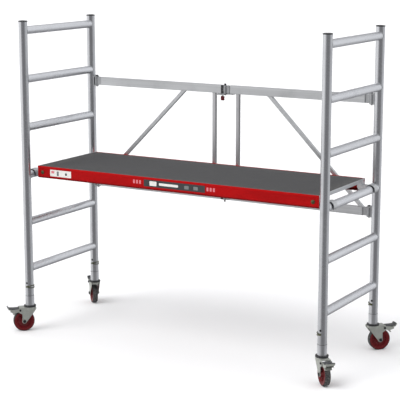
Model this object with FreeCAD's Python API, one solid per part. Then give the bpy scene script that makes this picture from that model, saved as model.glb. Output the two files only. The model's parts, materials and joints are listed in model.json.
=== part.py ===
"""Folding frame scaffold section on four castors, in millimetres, +Z up.

Two ladder frames stand 1.9 m apart. A pair of guard leaves, hinged to the back
uprights and to each other, joins them, and a deck hooks over the third rung of
each frame. The origin is on the floor, below the middle of the section. +X runs
from the left frame to the right frame, and the guard leaves stand on the +Y side.
"""
import FreeCAD
import Part
import math
import os

from FreeCAD import Vector

os.makedirs("parts", exist_ok=True)

# ---------------------------------------------------------------- driving sizes
# Frames
FRAME_SPAN = 1918.0        # left frame to right frame, tube centre to tube centre
FRAME_DEPTH = 674.0        # front upright to back upright, tube centre to tube centre
UPRIGHT_OD = 50.0
UPRIGHT_WALL = 2.0
TOP_STUB = 50.0            # tube above the centre of the top rung
CAP_HEAD = 8.0
CAP_BRIM = 1.5             # head of the end cap beyond the tube
CAP_PLUG = 24.0
RUNG_OD = 46.0
RUNG_WALL = 2.0
FIRST_RUNG_RISE = 167.0    # lowest rung above the foot of the tube
RUNG_PITCH = 280.0
RUNG_COUNT = 6
DECK_RUNG = 2              # the deck hangs on the rung of this index, from 0

# Holes and lock pins in the foot of each upright
PIN_HOLE_RISE = 79.0       # free hole above the foot of the tube
PIN_HOLE_R = 5.0
LOCK_PIN_RISE = 57.0       # lock pin of the castor stem above the foot of the tube
LOCK_PIN_R = 4.0
LOCK_HOLE_R = 4.3
CLIP_WIRE_R = 1.6
CLIP_WIRE_SPREAD = 4.5     # each wire loop above and below the pin
CLIP_HEAD_R = 6.0

# Guard leaves
RAIL_HEIGHT = 48.0
RAIL_DEPTH = 25.0
RAIL_WALL = 2.0
TOP_RAIL_RISE = 1052.0     # rail centre above the lowest rung
LOW_RAIL_RISE = 419.0
POST_X = 79.0              # post centre, from the middle of the section
BAR = 20.0                 # square tube of the posts and braces
BAR_WALL = 1.5
BRACE_TOP_X = 288.0        # brace centre line at the underside of the top rail
BRACE_END = 7.0            # brace centre line at the lower rail, from the rail's end

# Hinges between a frame and its leaf
FRAME_PIN_R = 5.0
FRAME_KNUCKLE_R = 12.5
FRAME_RAIL_SETBACK = 38.0  # hinge pin to the end of the rail tube
BRACKET_PLATE = 2.5        # bracket metal in front of the upright
BRACKET_CLEAR = 1.0        # between the bracket and the knuckle
BRACKET_HALF_WIDTH = 14.0
LUG_THICK = 6.0
LUG_GAP = 0.5              # between a lug and the knuckle
PIN_HEAD = 5.0

# Hinge between the two leaves
CENTRE_AXIS_OUT = 15.0     # hinge axis in front of the rails' middle plane
CENTRE_PIN_R = 4.0
CENTRE_BARREL_R = 9.0
CENTRE_RAIL_SETBACK = 30.0 # hinge axis to the end of the rail tube
END_PLATE = 4.0
BARREL_GAP = 0.3           # between neighbouring knuckles
BARREL_CLEAR = 1.5         # between the left barrels and the web of the right fitting
MIDDLE_KNUCKLE = 16.0      # height of the right leaf's knuckle

# Latch at the middle of the top rail
LATCH_OUT = 17.0           # plunger to hinge axis
LATCH_ROD_R = 3.5
LATCH_BORE_R = 3.6
INDEX_DISC_R = 24.0
INDEX_DISC_THICK = 4.0
LATCH_BLOCK_HEIGHT = 4.5
LATCH_STROKE = 4.0
FOLDED_ANGLE = 160.0       # turn between the leaves when folded, where the disc has a second hole
KNOB_HEIGHT = 24.0

# Deck
DECK_END_GAP = 52.0        # end of the deck to the centre of the frame
DECK_SIDE_GAP = 15.0       # side of the deck to the uprights
SIDE_RAIL_HEIGHT = 70.0
DECK_RISE = 54.0           # top of the side rails above the rung centre
SIDE_WEB = 4.0
SIDE_FLANGE = 22.0
SIDE_FLANGE_THICK = 3.0
BOARD_THICK = 10.0
BOARD_RECESS = 2.0         # board top below the rim of the side rails
BOARD_EDGE_GAP = 0.5
END_BEAM_DEPTH = 20.0
END_BEAM_DROP = 58.0       # bottom of the end beam below the rim, next to the claws
END_BEAM_SLIM = 21.0       # the same between the claws
END_LIP = 3.5
CROSS_MEMBER_WIDTH = 40.0
CROSS_MEMBER_HEIGHT = 28.0
CROSS_MEMBER_WALL = 2.5
CROSS_MEMBER_COUNT = 3
BOLT_INSET = 34.0          # rail bolt from the end of the deck
BOLT_HEAD_R = 9.0
BOLT_HEAD_THICK = 5.0
BOLT_SHANK_R = 5.0

# Claws that hook over the rung
CLAW_PLAY = 1.0            # free play round the rung
CLAW_LINER = 3.0
CLAW_SHELL = 4.0
CLAW_WIDTH = 42.0
CLAW_INSET = 10.0          # claw from the side of the deck
CLAW_INNER_LEG = 13.0      # inner leg below the rung centre
CLAW_OUTER_LEG = 16.0      # outer leg below the rung centre
CLAW_ARM_TOP = 22.0        # arm above the rung centre

# Castors
WHEEL_D = 125.0
TYRE_WIDTH = 32.0
TYRE_CROWN = 5.0
HUB_R = 49.0
HUB_WEB = 16.0
HUB_RIM = 26.0
HUB_RIM_R = 41.0
BOSS_R = 16.0
BOSS_WIDTH = 44.0
TRAIL = 38.0
AXLE_R = 6.0
RUNNING_PLAY = 0.05        # radial clearance of shafts and pins in their bores
FORK_INNER = 48.0          # between the fork legs
FORK_SHEET = 3.0
CROWN_R = 34.0
CROWN_HEIGHT = 12.7
TOP_PLATE_R = 35.0
TOP_PLATE_THICK = 8.0
SWIVEL_GAP = 0.3           # between the fixed and the turning faces of the swivel
COLLAR_HEIGHT = 60.0
COLLAR_BRIM = 1.0          # collar beyond the upright
STEM_HEIGHT = 69.0         # stem inside the upright
STEM_PLAY = 0.6
STEM_WALL = 3.0
KINGPIN_R = 8.0
KINGPIN_HEAD_R = 13.0
KINGPIN_CLEAR = 3.0        # kingpin head above the tyre
KINGPIN_HEAD = 4.7
PEDAL_PIVOT_OUT = 24.0     # pedal pivot beyond the wheel axis
PEDAL_PIVOT_RISE = 6.0     # pedal pivot above the tyre
PEDAL_PIVOT_R = 4.0
PEDAL_INNER = 40.0
PEDAL_SHEET = 3.0
PEDAL_TRAVEL = 12.0        # degrees, from free to braked
PEDAL_REACH = 75.0         # pedal tip beyond its pivot
PEDAL_WIDTH = 50.0
SHOE_GAP = 0.6             # brake shoe to tyre with the pedal down
SHOE_THICK = 7.0
BOLT_HEAD_OUT = 6.0
FORK_BOSS_R = 14.0         # fork leg round the axle
FORK_EAR_R = 10.0          # fork leg round the pedal pivot
SHOE_FROM = 30.0           # degrees above the wheel's level, outwards
SHOE_TO = 52.0

# ------------------------------------------------------------- derived positions
HALF_SPAN = FRAME_SPAN / 2
HALF_DEPTH = FRAME_DEPTH / 2
UPRIGHT_R = UPRIGHT_OD / 2
RUNG_R = RUNG_OD / 2
WHEEL_R = WHEEL_D / 2
KINGPIN_FOOT_Z = WHEEL_D + KINGPIN_CLEAR
CROWN_FOOT_Z = KINGPIN_FOOT_Z + KINGPIN_HEAD + SWIVEL_GAP
FORK_TOP_Z = CROWN_FOOT_Z + CROWN_HEIGHT
TOP_PLATE_Z = FORK_TOP_Z + SWIVEL_GAP
COLLAR_FOOT_Z = TOP_PLATE_Z + TOP_PLATE_THICK
TUBE_FOOT_Z = COLLAR_FOOT_Z + COLLAR_HEIGHT
STEM_TOP_Z = TUBE_FOOT_Z + STEM_HEIGHT
LOCK_PIN_Z = TUBE_FOOT_Z + LOCK_PIN_RISE
PIN_HOLE_Z = TUBE_FOOT_Z + PIN_HOLE_RISE
FIRST_RUNG_Z = TUBE_FOOT_Z + FIRST_RUNG_RISE
TOP_RAIL_Z = FIRST_RUNG_Z + TOP_RAIL_RISE
LOW_RAIL_Z = FIRST_RUNG_Z + LOW_RAIL_RISE
PEDAL_PIVOT_X = TRAIL + PEDAL_PIVOT_OUT
PEDAL_PIVOT_Z = WHEEL_D + PEDAL_PIVOT_RISE
PEDAL_TIP_X = PEDAL_PIVOT_X + PEDAL_REACH
COLLAR_R = UPRIGHT_R + COLLAR_BRIM
RUNG_HEIGHTS = [FIRST_RUNG_Z + RUNG_PITCH * i for i in range(RUNG_COUNT)]
TUBE_TOP_Z = RUNG_HEIGHTS[-1] + TOP_STUB
DECK_RUNG_Z = RUNG_HEIGHTS[DECK_RUNG]
LEAF_Y = HALF_DEPTH
FRAME_HINGE_OUT = UPRIGHT_R + BRACKET_PLATE + BRACKET_CLEAR + FRAME_KNUCKLE_R
HINGE_X = HALF_SPAN - FRAME_HINGE_OUT
RAIL_OUTER_X = HINGE_X - FRAME_RAIL_SETBACK
BRACE_LOW_X = RAIL_OUTER_X - BRACE_END
CENTRE_AXIS_Y = LEAF_Y - CENTRE_AXIS_OUT
DECK_LENGTH = FRAME_SPAN - 2 * DECK_END_GAP
DECK_WIDTH = FRAME_DEPTH - UPRIGHT_OD - 2 * DECK_SIDE_GAP
DECK_RIM_Z = DECK_RUNG_Z + DECK_RISE
DECK_FOOT_Z = DECK_RIM_Z - SIDE_RAIL_HEIGHT
BOARD_TOP_Z = DECK_RIM_Z - BOARD_RECESS
BOARD_FOOT_Z = BOARD_TOP_Z - BOARD_THICK
LEDGE_FOOT_Z = BOARD_FOOT_Z - SIDE_FLANGE_THICK
WEB_INNER_Y = DECK_WIDTH / 2 - SIDE_WEB
LEDGE_INNER_Y = WEB_INNER_Y - SIDE_FLANGE
END_BEAM_FOOT_Z = DECK_RIM_Z - END_BEAM_DROP
BOLT_Z = (END_BEAM_FOOT_Z + LEDGE_FOOT_Z) / 2
SIDES = {"left": -1, "right": 1}
DEPTHS = {"front": -1, "back": 1}


# -------------------------------------------------------------------- small tools
def save(shape, node):
    """Write one node as a STEP file."""
    shape.exportStep("parts/" + node + ".step")


def box(x0, x1, y0, y1, z0, z1):
    """Box between two corners, given in any order."""
    low = Vector(min(x0, x1), min(y0, y1), min(z0, z1))
    return Part.makeBox(abs(x1 - x0), abs(y1 - y0), abs(z1 - z0), low)


def rod(radius, x, y, z0, z1):
    """Vertical cylinder."""
    return Part.makeCylinder(radius, z1 - z0, Vector(x, y, z0))


def rod_y(radius, x, z, y0, y1):
    """Cylinder along Y."""
    return Part.makeCylinder(radius, y1 - y0, Vector(x, y0, z), Vector(0, 1, 0))


def plate_xz(points, y0, y1):
    """Flat plate with an outline of (x, z) points, between two Y values."""
    wire = Part.makePolygon([Vector(x, y0, z) for x, z in points + points[:1]])
    return Part.Face(wire).extrude(Vector(0, y1 - y0, 0))


def mirror_x(shape):
    """Mirror image on the other side of the middle plane."""
    return shape.mirror(Vector(0, 0, 0), Vector(1, 0, 0))


def on_side(shape, side):
    """The shape is drawn on the right: give it on the side asked for."""
    return shape if side > 0 else mirror_x(shape)


# ------------------------------------------------------------------ ladder frames
def upright(x, y):
    """Upright tube with a lock-pin hole and a free pin hole, both along Y."""
    tube = rod(UPRIGHT_R, x, y, TUBE_FOOT_Z, TUBE_TOP_Z)
    tube = tube.cut(rod(UPRIGHT_R - UPRIGHT_WALL, x, y, TUBE_FOOT_Z, TUBE_TOP_Z))
    for radius, height in ((PIN_HOLE_R, PIN_HOLE_Z), (LOCK_HOLE_R, LOCK_PIN_Z)):
        tube = tube.cut(rod_y(radius, x, height, y - UPRIGHT_OD, y + UPRIGHT_OD))
    return tube


def rung(x, height):
    """Rung tube whose ends are coped to the two uprights."""
    tube = rod_y(RUNG_R, x, height, -HALF_DEPTH, HALF_DEPTH)
    tube = tube.cut(rod_y(RUNG_R - RUNG_WALL, x, height, -HALF_DEPTH, HALF_DEPTH))
    low, high = height - RUNG_OD, height + RUNG_OD
    for y in (-HALF_DEPTH, HALF_DEPTH):
        tube = tube.cut(rod(UPRIGHT_R, x, y, low, high))
    return tube


def end_cap(x, y):
    """Plastic plug in the top of an upright."""
    plug = rod(UPRIGHT_R - UPRIGHT_WALL, x, y, TUBE_TOP_Z - CAP_PLUG, TUBE_TOP_Z)
    bore = rod(UPRIGHT_R - 2 * UPRIGHT_WALL, x, y, TUBE_TOP_Z - CAP_PLUG, TUBE_TOP_Z - UPRIGHT_WALL)
    head = rod(UPRIGHT_R + CAP_BRIM, x, y, TUBE_TOP_Z, TUBE_TOP_Z + CAP_HEAD)
    head = head.makeFillet(CAP_HEAD / 3, [head.Edges[0]])
    return head.fuse(plug).cut(bore).removeSplitter()


def castor_socket(x, y):
    """Fixed half of a castor: stem, collar, top plate and kingpin, in one piece."""
    stem_r = UPRIGHT_R - UPRIGHT_WALL - STEM_PLAY
    body = rod(TOP_PLATE_R, x, y, TOP_PLATE_Z, COLLAR_FOOT_Z)
    body = body.fuse(rod(COLLAR_R, x, y, COLLAR_FOOT_Z, TUBE_FOOT_Z))
    body = body.fuse(rod(stem_r, x, y, TUBE_FOOT_Z, STEM_TOP_Z))
    body = body.fuse(rod(KINGPIN_R, x, y, KINGPIN_FOOT_Z, TOP_PLATE_Z))
    body = body.fuse(rod(KINGPIN_HEAD_R, x, y, KINGPIN_FOOT_Z, KINGPIN_FOOT_Z + KINGPIN_HEAD))
    body = body.cut(rod(stem_r - STEM_WALL, x, y, COLLAR_FOOT_Z, STEM_TOP_Z))
    return body.cut(rod_y(LOCK_HOLE_R, x, LOCK_PIN_Z, y - UPRIGHT_OD, y + UPRIGHT_OD))


def lock_clip(x, y, side):
    """Lock pin with a sprung double wire round the inner side of the upright."""
    loop_r = UPRIGHT_R + 2 * CLIP_WIRE_R
    reach = loop_r + CLIP_WIRE_R
    clip = rod_y(LOCK_PIN_R, x, LOCK_PIN_Z, y - reach, y + reach)
    near, far = UPRIGHT_R + CLIP_WIRE_R, reach + CLIP_WIRE_R
    clip = clip.fuse(rod_y(CLIP_HEAD_R, x, LOCK_PIN_Z, y - far, y - near))
    clip = clip.fuse(rod_y(CLIP_HEAD_R, x, LOCK_PIN_Z, y + near, y + far))
    inner_half = box(x, x - side * UPRIGHT_OD, y - UPRIGHT_OD, y + UPRIGHT_OD, 0, TUBE_TOP_Z)
    for dz in (-CLIP_WIRE_SPREAD, CLIP_WIRE_SPREAD):
        ring = Part.makeTorus(loop_r, CLIP_WIRE_R, Vector(x, y, LOCK_PIN_Z + dz))
        clip = clip.fuse(ring.common(inner_half))
    return clip


def bracket(rail_z):
    """Weld-on bracket of the right back upright, with two lugs for the hinge pin."""
    half = RAIL_HEIGHT / 2 + LUG_GAP
    plate_x = HALF_SPAN - UPRIGHT_R - BRACKET_PLATE
    low, high = rail_z - half - LUG_THICK, rail_z + half + LUG_THICK
    y0, y1 = LEAF_Y - BRACKET_HALF_WIDTH, LEAF_Y + BRACKET_HALF_WIDTH
    body = box(plate_x, HALF_SPAN, y0, y1, low, high)
    for z in (low, high - LUG_THICK):
        body = body.fuse(box(HINGE_X, plate_x, y0, y1, z, z + LUG_THICK))
        body = body.fuse(rod(BRACKET_HALF_WIDTH, HINGE_X, LEAF_Y, z, z + LUG_THICK))
    body = body.cut(rod(UPRIGHT_R, HALF_SPAN, LEAF_Y, low, high))
    body = body.cut(box(HALF_SPAN - UPRIGHT_R / 2, HALF_SPAN, y0, y1, low, high))
    return body.cut(rod(FRAME_PIN_R, HINGE_X, LEAF_Y, low, high)).removeSplitter()


def frame_pin(rail_z):
    """Headed hinge pin through a bracket on the right."""
    half = RAIL_HEIGHT / 2 + LUG_GAP + LUG_THICK
    pin = rod(FRAME_PIN_R, HINGE_X, LEAF_Y, rail_z - half - PIN_HEAD, rail_z + half)
    head = rod(FRAME_PIN_R * 1.7, HINGE_X, LEAF_Y, rail_z + half, rail_z + half + PIN_HEAD)
    return pin.fuse(head)


def build_frame(name, side):
    """All the nodes of one ladder frame."""
    x = side * HALF_SPAN
    corners = [(x, depth * HALF_DEPTH) for depth in DEPTHS.values()]
    for depth_name, depth in DEPTHS.items():
        save(upright(x, depth * HALF_DEPTH), name + "_" + depth_name + "_upright")
    save(Part.makeCompound([rung(x, height) for height in RUNG_HEIGHTS]), name + "_rungs")
    save(Part.makeCompound([end_cap(*corner) for corner in corners]), name + "_end_caps")
    save(Part.makeCompound([castor_socket(*corner) for corner in corners]), name + "_castor_stems")
    save(Part.makeCompound([lock_clip(*corner, side) for corner in corners]), name + "_lock_clips")
    rails = (TOP_RAIL_Z, LOW_RAIL_Z)
    brackets = [on_side(bracket(z), side) for z in rails]
    save(Part.makeCompound(brackets), name + "_hinge_brackets")
    save(Part.makeCompound([on_side(frame_pin(z), side) for z in rails]), name + "_hinge_pins")


# ------------------------------------------------------------------- guard leaves
def rail_tube(rail_z):
    """Flat rectangular rail tube, right leaf."""
    y0, y1 = LEAF_Y - RAIL_DEPTH / 2, LEAF_Y + RAIL_DEPTH / 2
    z0, z1 = rail_z - RAIL_HEIGHT / 2, rail_z + RAIL_HEIGHT / 2
    wall = RAIL_WALL
    tube = box(CENTRE_RAIL_SETBACK, RAIL_OUTER_X, y0, y1, z0, z1)
    inner = box(CENTRE_RAIL_SETBACK, RAIL_OUTER_X, y0 + wall, y1 - wall, z0 + wall, z1 - wall)
    return tube.cut(inner)


def bar_between(outline, inner):
    """Square tube from two outlines of (x, z) points, open at both ends."""
    y0, y1 = LEAF_Y - BAR / 2, LEAF_Y + BAR / 2
    return plate_xz(outline, y0, y1).cut(plate_xz(inner, y0 + BAR_WALL, y1 - BAR_WALL))


def leaf_bars():
    """Post and brace of the right leaf, between the two rails."""
    low = LOW_RAIL_Z + RAIL_HEIGHT / 2
    high = TOP_RAIL_Z - RAIL_HEIGHT / 2
    bars = []
    slope = math.hypot(BRACE_LOW_X - BRACE_TOP_X, high - low) / (high - low)
    for foot_x, head_x, stretch in ((POST_X, POST_X, 1.0), (BRACE_LOW_X, BRACE_TOP_X, slope)):
        half = BAR / 2 * stretch
        hollow = half - BAR_WALL * stretch
        outlines = [
            [(foot_x - w, low), (foot_x + w, low), (head_x + w, high), (head_x - w, high)]
            for w in (half, hollow)
        ]
        bars.append(bar_between(*outlines))
    return bars


def frame_knuckle(rail_z):
    """Fitting in the outer end of a rail, with the knuckle of the frame hinge."""
    z0, z1 = rail_z - RAIL_HEIGHT / 2, rail_z + RAIL_HEIGHT / 2
    neck = BRACKET_HALF_WIDTH * 0.6
    body = rod(FRAME_KNUCKLE_R, HINGE_X, LEAF_Y, z0, z1)
    body = body.fuse(box(RAIL_OUTER_X, HINGE_X, LEAF_Y - neck, LEAF_Y + neck, z0, z1))
    y0, y1 = LEAF_Y - RAIL_DEPTH / 2, LEAF_Y + RAIL_DEPTH / 2
    body = body.fuse(box(RAIL_OUTER_X, RAIL_OUTER_X + END_PLATE, y0, y1, z0, z1))
    body = body.fuse(rail_plug(RAIL_OUTER_X, RAIL_OUTER_X - RAIL_DEPTH, rail_z))
    return body.cut(rod(FRAME_PIN_R + RUNNING_PLAY, HINGE_X, LEAF_Y, z0, z1)).removeSplitter()


def rail_plug(x0, x1, rail_z):
    """Block that fills the bore of a rail between two X values."""
    half_y = RAIL_DEPTH / 2 - RAIL_WALL
    half_z = RAIL_HEIGHT / 2 - RAIL_WALL
    return box(x0, x1, LEAF_Y - half_y, LEAF_Y + half_y, rail_z - half_z, rail_z + half_z)


def centre_fitting(rail_z, spans):
    """End plate, plug and barrels of the right leaf at the middle hinge.

    spans are the (low, high) heights of its barrels above the rail centre.
    """
    z0, z1 = rail_z - RAIL_HEIGHT / 2, rail_z + RAIL_HEIGHT / 2
    plate_x = CENTRE_RAIL_SETBACK - END_PLATE
    body = box(plate_x, CENTRE_RAIL_SETBACK, LEAF_Y - RAIL_DEPTH / 2, LEAF_Y + RAIL_DEPTH / 2, z0, z1)
    body = body.fuse(rail_plug(CENTRE_RAIL_SETBACK, CENTRE_RAIL_SETBACK + RAIL_DEPTH, rail_z))
    for low, high in spans:
        a, b = rail_z + low, rail_z + high
        body = body.fuse(rod(CENTRE_BARREL_R, 0, CENTRE_AXIS_Y, a, b))
        body = body.fuse(box(0, plate_x, CENTRE_AXIS_Y, CENTRE_AXIS_Y + CENTRE_BARREL_R, a, b))
    return body


def centre_bore(body, rail_z, radius):
    """Cut the bore for the middle hinge pin."""
    reach = RAIL_HEIGHT
    return body.cut(rod(radius, 0, CENTRE_AXIS_Y, rail_z - reach, rail_z + reach)).removeSplitter()


def left_centre_fitting(rail_z):
    """Left leaf: barrels at the top and the bottom of the rail."""
    half, middle = RAIL_HEIGHT / 2, MIDDLE_KNUCKLE / 2 + BARREL_GAP
    body = mirror_x(centre_fitting(rail_z, ((-half, -middle), (middle, half))))
    return centre_bore(body, rail_z, CENTRE_PIN_R)


def right_centre_fitting(rail_z, with_disc):
    """Right leaf: one barrel in the middle and, on the top rail, the index disc."""
    middle, half = MIDDLE_KNUCKLE / 2, RAIL_HEIGHT / 2
    body = centre_fitting(rail_z, ((-middle, middle),))
    x0, x1 = CENTRE_BARREL_R + BARREL_CLEAR, CENTRE_RAIL_SETBACK - END_PLATE
    y0, y1 = CENTRE_AXIS_Y, CENTRE_AXIS_Y + CENTRE_BARREL_R
    body = body.fuse(box(x0, x1, y0, y1, rail_z - half, rail_z + half))
    if with_disc:
        high = rail_z - half - LUG_GAP
        low = high - INDEX_DISC_THICK
        body = body.fuse(rod(INDEX_DISC_R, 0, CENTRE_AXIS_Y, low, high))
        web_x, arm_x = CENTRE_RAIL_SETBACK - END_PLATE, CENTRE_RAIL_SETBACK + RAIL_DEPTH
        y0, y1 = CENTRE_AXIS_Y - CENTRE_BARREL_R, LEAF_Y + CENTRE_BARREL_R
        body = body.fuse(box(0, arm_x, y0, y1, low, high))
        y0, y1 = LEAF_Y - RAIL_DEPTH / 2, LEAF_Y + RAIL_DEPTH / 2
        body = body.fuse(box(web_x, CENTRE_RAIL_SETBACK, y0, y1, low, rail_z))
        for turn in (0.0, math.radians(FOLDED_ANGLE)):
            x, y = -LATCH_OUT * math.cos(turn), CENTRE_AXIS_Y - LATCH_OUT * math.sin(turn)
            body = body.cut(rod(LATCH_BORE_R + RUNNING_PLAY, x, y, low, high))
    return centre_bore(body, rail_z, CENTRE_PIN_R + RUNNING_PLAY)


def centre_pin(rail_z):
    """Middle hinge pin with a knob on top and a nub below."""
    half = RAIL_HEIGHT / 2
    foot = rail_z - half - LUG_GAP - INDEX_DISC_THICK - BARREL_GAP
    pin = rod(CENTRE_PIN_R, 0, CENTRE_AXIS_Y, foot, rail_z + half)
    pin = pin.fuse(rod(CENTRE_PIN_R * 1.5, 0, CENTRE_AXIS_Y, foot - PIN_HEAD, foot))
    return pin.fuse(rod(CENTRE_PIN_R * 1.7, 0, CENTRE_AXIS_Y, rail_z + half, rail_z + half + PIN_HEAD * 2))


def latch_parts():
    """Latch housing, plunger and knob, on the left leaf below the top rail."""
    rail_foot = TOP_RAIL_Z - RAIL_HEIGHT / 2
    block_top = rail_foot - LUG_GAP - INDEX_DISC_THICK - LUG_GAP
    block_foot = block_top - LATCH_BLOCK_HEIGHT
    x = -LATCH_OUT
    end_x = -CENTRE_RAIL_SETBACK
    arm_x = end_x - RAIL_DEPTH
    width = CENTRE_BARREL_R
    y0, y1 = CENTRE_AXIS_Y - width, CENTRE_AXIS_Y + width
    housing = box(arm_x, x + width, y0, y1, block_foot, block_top)
    y0, y1 = LEAF_Y - RAIL_DEPTH / 2, LEAF_Y + RAIL_DEPTH / 2
    housing = housing.fuse(box(arm_x, end_x, y0, y1, block_foot, rail_foot))
    housing = housing.cut(rod(INDEX_DISC_R + LUG_GAP, 0, CENTRE_AXIS_Y, block_top, rail_foot))
    housing = housing.cut(rod(CENTRE_BARREL_R, 0, CENTRE_AXIS_Y, block_foot, block_top))
    housing = housing.cut(rod(LATCH_BORE_R, x, CENTRE_AXIS_Y, block_foot, block_top)).removeSplitter()
    knob_top = block_foot - LATCH_STROKE - LUG_GAP
    plunger = rod(LATCH_ROD_R, x, CENTRE_AXIS_Y, knob_top, block_top)
    knob = latch_knob(x, knob_top)
    return housing, plunger, knob


def latch_knob(x, top):
    """Red pull handle: a waisted grip that widens towards its foot."""
    foot = top - KNOB_HEIGHT
    outline = [
        (x - 7, top), (x + 7, top), (x + 11, top - 5), (x + 10, foot + 8),
        (x + 12, foot), (x - 12, foot), (x - 10, foot + 8), (x - 11, top - 5),
    ]
    return plate_xz(outline, CENTRE_AXIS_Y - 7, CENTRE_AXIS_Y + 7)


def build_leaves():
    """All the nodes of the two guard leaves and the latch between them."""
    post, brace = leaf_bars()
    drawn = {
        "top_rail": rail_tube(TOP_RAIL_Z),
        "lower_rail": rail_tube(LOW_RAIL_Z),
        "leaf_post": post,
        "leaf_brace": brace,
        "rail_knuckles": Part.makeCompound([frame_knuckle(z) for z in (TOP_RAIL_Z, LOW_RAIL_Z)]),
    }
    for name, side in SIDES.items():
        for part, shape in drawn.items():
            save(on_side(shape, side), name + "_" + part)
    rails = (TOP_RAIL_Z, LOW_RAIL_Z)
    save(Part.makeCompound([left_centre_fitting(z) for z in rails]), "left_centre_hinge")
    fittings = [right_centre_fitting(z, z == TOP_RAIL_Z) for z in rails]
    save(Part.makeCompound(fittings), "right_centre_hinge")
    save(Part.makeCompound([centre_pin(z) for z in rails]), "centre_hinge_pins")
    housing, plunger, knob = latch_parts()
    save(housing, "latch_housing")
    save(plunger, "latch_plunger")
    save(knob, "latch_knob")


# --------------------------------------------------------------------------- deck
def side_rail(depth):
    """Channel along one side of the deck, with a ledge for the board."""
    half = DECK_LENGTH / 2
    outer = depth * DECK_WIDTH / 2
    web, ledge = depth * WEB_INNER_Y, depth * LEDGE_INNER_Y
    rail = box(-half, half, outer, web, DECK_FOOT_Z, DECK_RIM_Z)
    rail = rail.fuse(box(-half, half, web, ledge, DECK_FOOT_Z, DECK_FOOT_Z + SIDE_FLANGE_THICK))
    inner = half - END_LIP
    rail = rail.fuse(box(-inner, inner, web, ledge, LEDGE_FOOT_Z, BOARD_FOOT_Z))
    for x in (-half + BOLT_INSET, half - BOLT_INSET):
        rail = rail.cut(rod_y(BOLT_SHANK_R, x, BOLT_Z, min(outer, web), max(outer, web)))
    return rail.removeSplitter()


def end_beam(side):
    """Beam across one end of the deck, with a lip over the end of the board."""
    end = side * DECK_LENGTH / 2
    inner = end - side * END_BEAM_DEPTH
    lip = end - side * END_LIP
    beam = box(inner, end, -WEB_INNER_Y, WEB_INNER_Y, END_BEAM_FOOT_Z, LEDGE_FOOT_Z)
    middle = DECK_WIDTH / 2 - CLAW_INSET - CLAW_WIDTH
    beam = beam.cut(box(inner, end, -middle, middle, END_BEAM_FOOT_Z, DECK_RIM_Z - END_BEAM_SLIM))
    beam = beam.fuse(box(lip, end, -LEDGE_INNER_Y, LEDGE_INNER_Y, LEDGE_FOOT_Z, BOARD_FOOT_Z))
    beam = beam.fuse(box(lip, end, -WEB_INNER_Y, WEB_INNER_Y, BOARD_FOOT_Z, DECK_RIM_Z))
    for depth in DEPTHS.values():
        foot_x = end - side * (BOLT_INSET + 2 * BOLT_SHANK_R)
        tab, web = depth * (WEB_INNER_Y - SIDE_WEB), depth * WEB_INNER_Y
        beam = beam.fuse(box(inner, foot_x, tab, web, END_BEAM_FOOT_Z, LEDGE_FOOT_Z))
        bolt_x = end - side * BOLT_INSET
        beam = beam.cut(rod_y(BOLT_SHANK_R, bolt_x, BOLT_Z, min(tab, web), max(tab, web)))
    return beam.removeSplitter()


def cross_member(x):
    """Hollow bar under the board, between the side rails."""
    half = CROSS_MEMBER_WIDTH / 2
    foot = BOARD_FOOT_Z - CROSS_MEMBER_HEIGHT
    wall = CROSS_MEMBER_WALL
    bar = box(x - half, x + half, -LEDGE_INNER_Y, LEDGE_INNER_Y, foot, BOARD_FOOT_Z)
    bar = bar.fuse(box(x - half, x + half, -WEB_INNER_Y, WEB_INNER_Y, foot, LEDGE_FOOT_Z))
    low, high = foot + wall, LEDGE_FOOT_Z - wall
    hollow = box(x - half + wall, x + half - wall, -WEB_INNER_Y, WEB_INNER_Y, low, high)
    return bar.cut(hollow).removeSplitter()


def board():
    """Anti-slip board between the side rails and the end lips."""
    half_x = DECK_LENGTH / 2 - END_LIP - BOARD_EDGE_GAP
    half_y = WEB_INNER_Y - BOARD_EDGE_GAP
    return box(-half_x, half_x, -half_y, half_y, BOARD_FOOT_Z, BOARD_TOP_Z)


def rail_bolt(side, depth):
    """Button-head bolt through a side rail into the tab of the end beam."""
    x = side * (DECK_LENGTH / 2 - BOLT_INSET)
    outer = depth * DECK_WIDTH / 2
    inner = depth * (WEB_INNER_Y - SIDE_WEB)
    shank = rod_y(BOLT_SHANK_R, x, BOLT_Z, min(inner, outer), max(inner, outer))
    far = outer + depth * BOLT_HEAD_THICK
    head = rod_y(BOLT_HEAD_R, x, BOLT_Z, min(outer, far), max(outer, far))
    rims = [edge for edge in head.Edges if abs(edge.CenterOfMass.y - far) < 0.1]
    return shank.fuse(head.makeFillet(BOLT_HEAD_THICK / 2, rims))


def claw_profile(inner_r, outer_r, y0, y1):
    """Saddle over a rung at the origin: a half ring with straight legs."""
    ring = rod_y(outer_r, 0, 0, y0, y1)
    ring = ring.cut(rod_y(inner_r, 0, 0, y0, y1))
    ring = ring.cut(box(-inner_r, inner_r, y0, y1, -2 * outer_r, 0))
    ring = ring.cut(box(-2 * outer_r, 0, y0, y1, -2 * outer_r, -CLAW_INNER_LEG))
    return ring.cut(box(0, 2 * outer_r, y0, y1, -2 * outer_r, -CLAW_OUTER_LEG))


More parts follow.
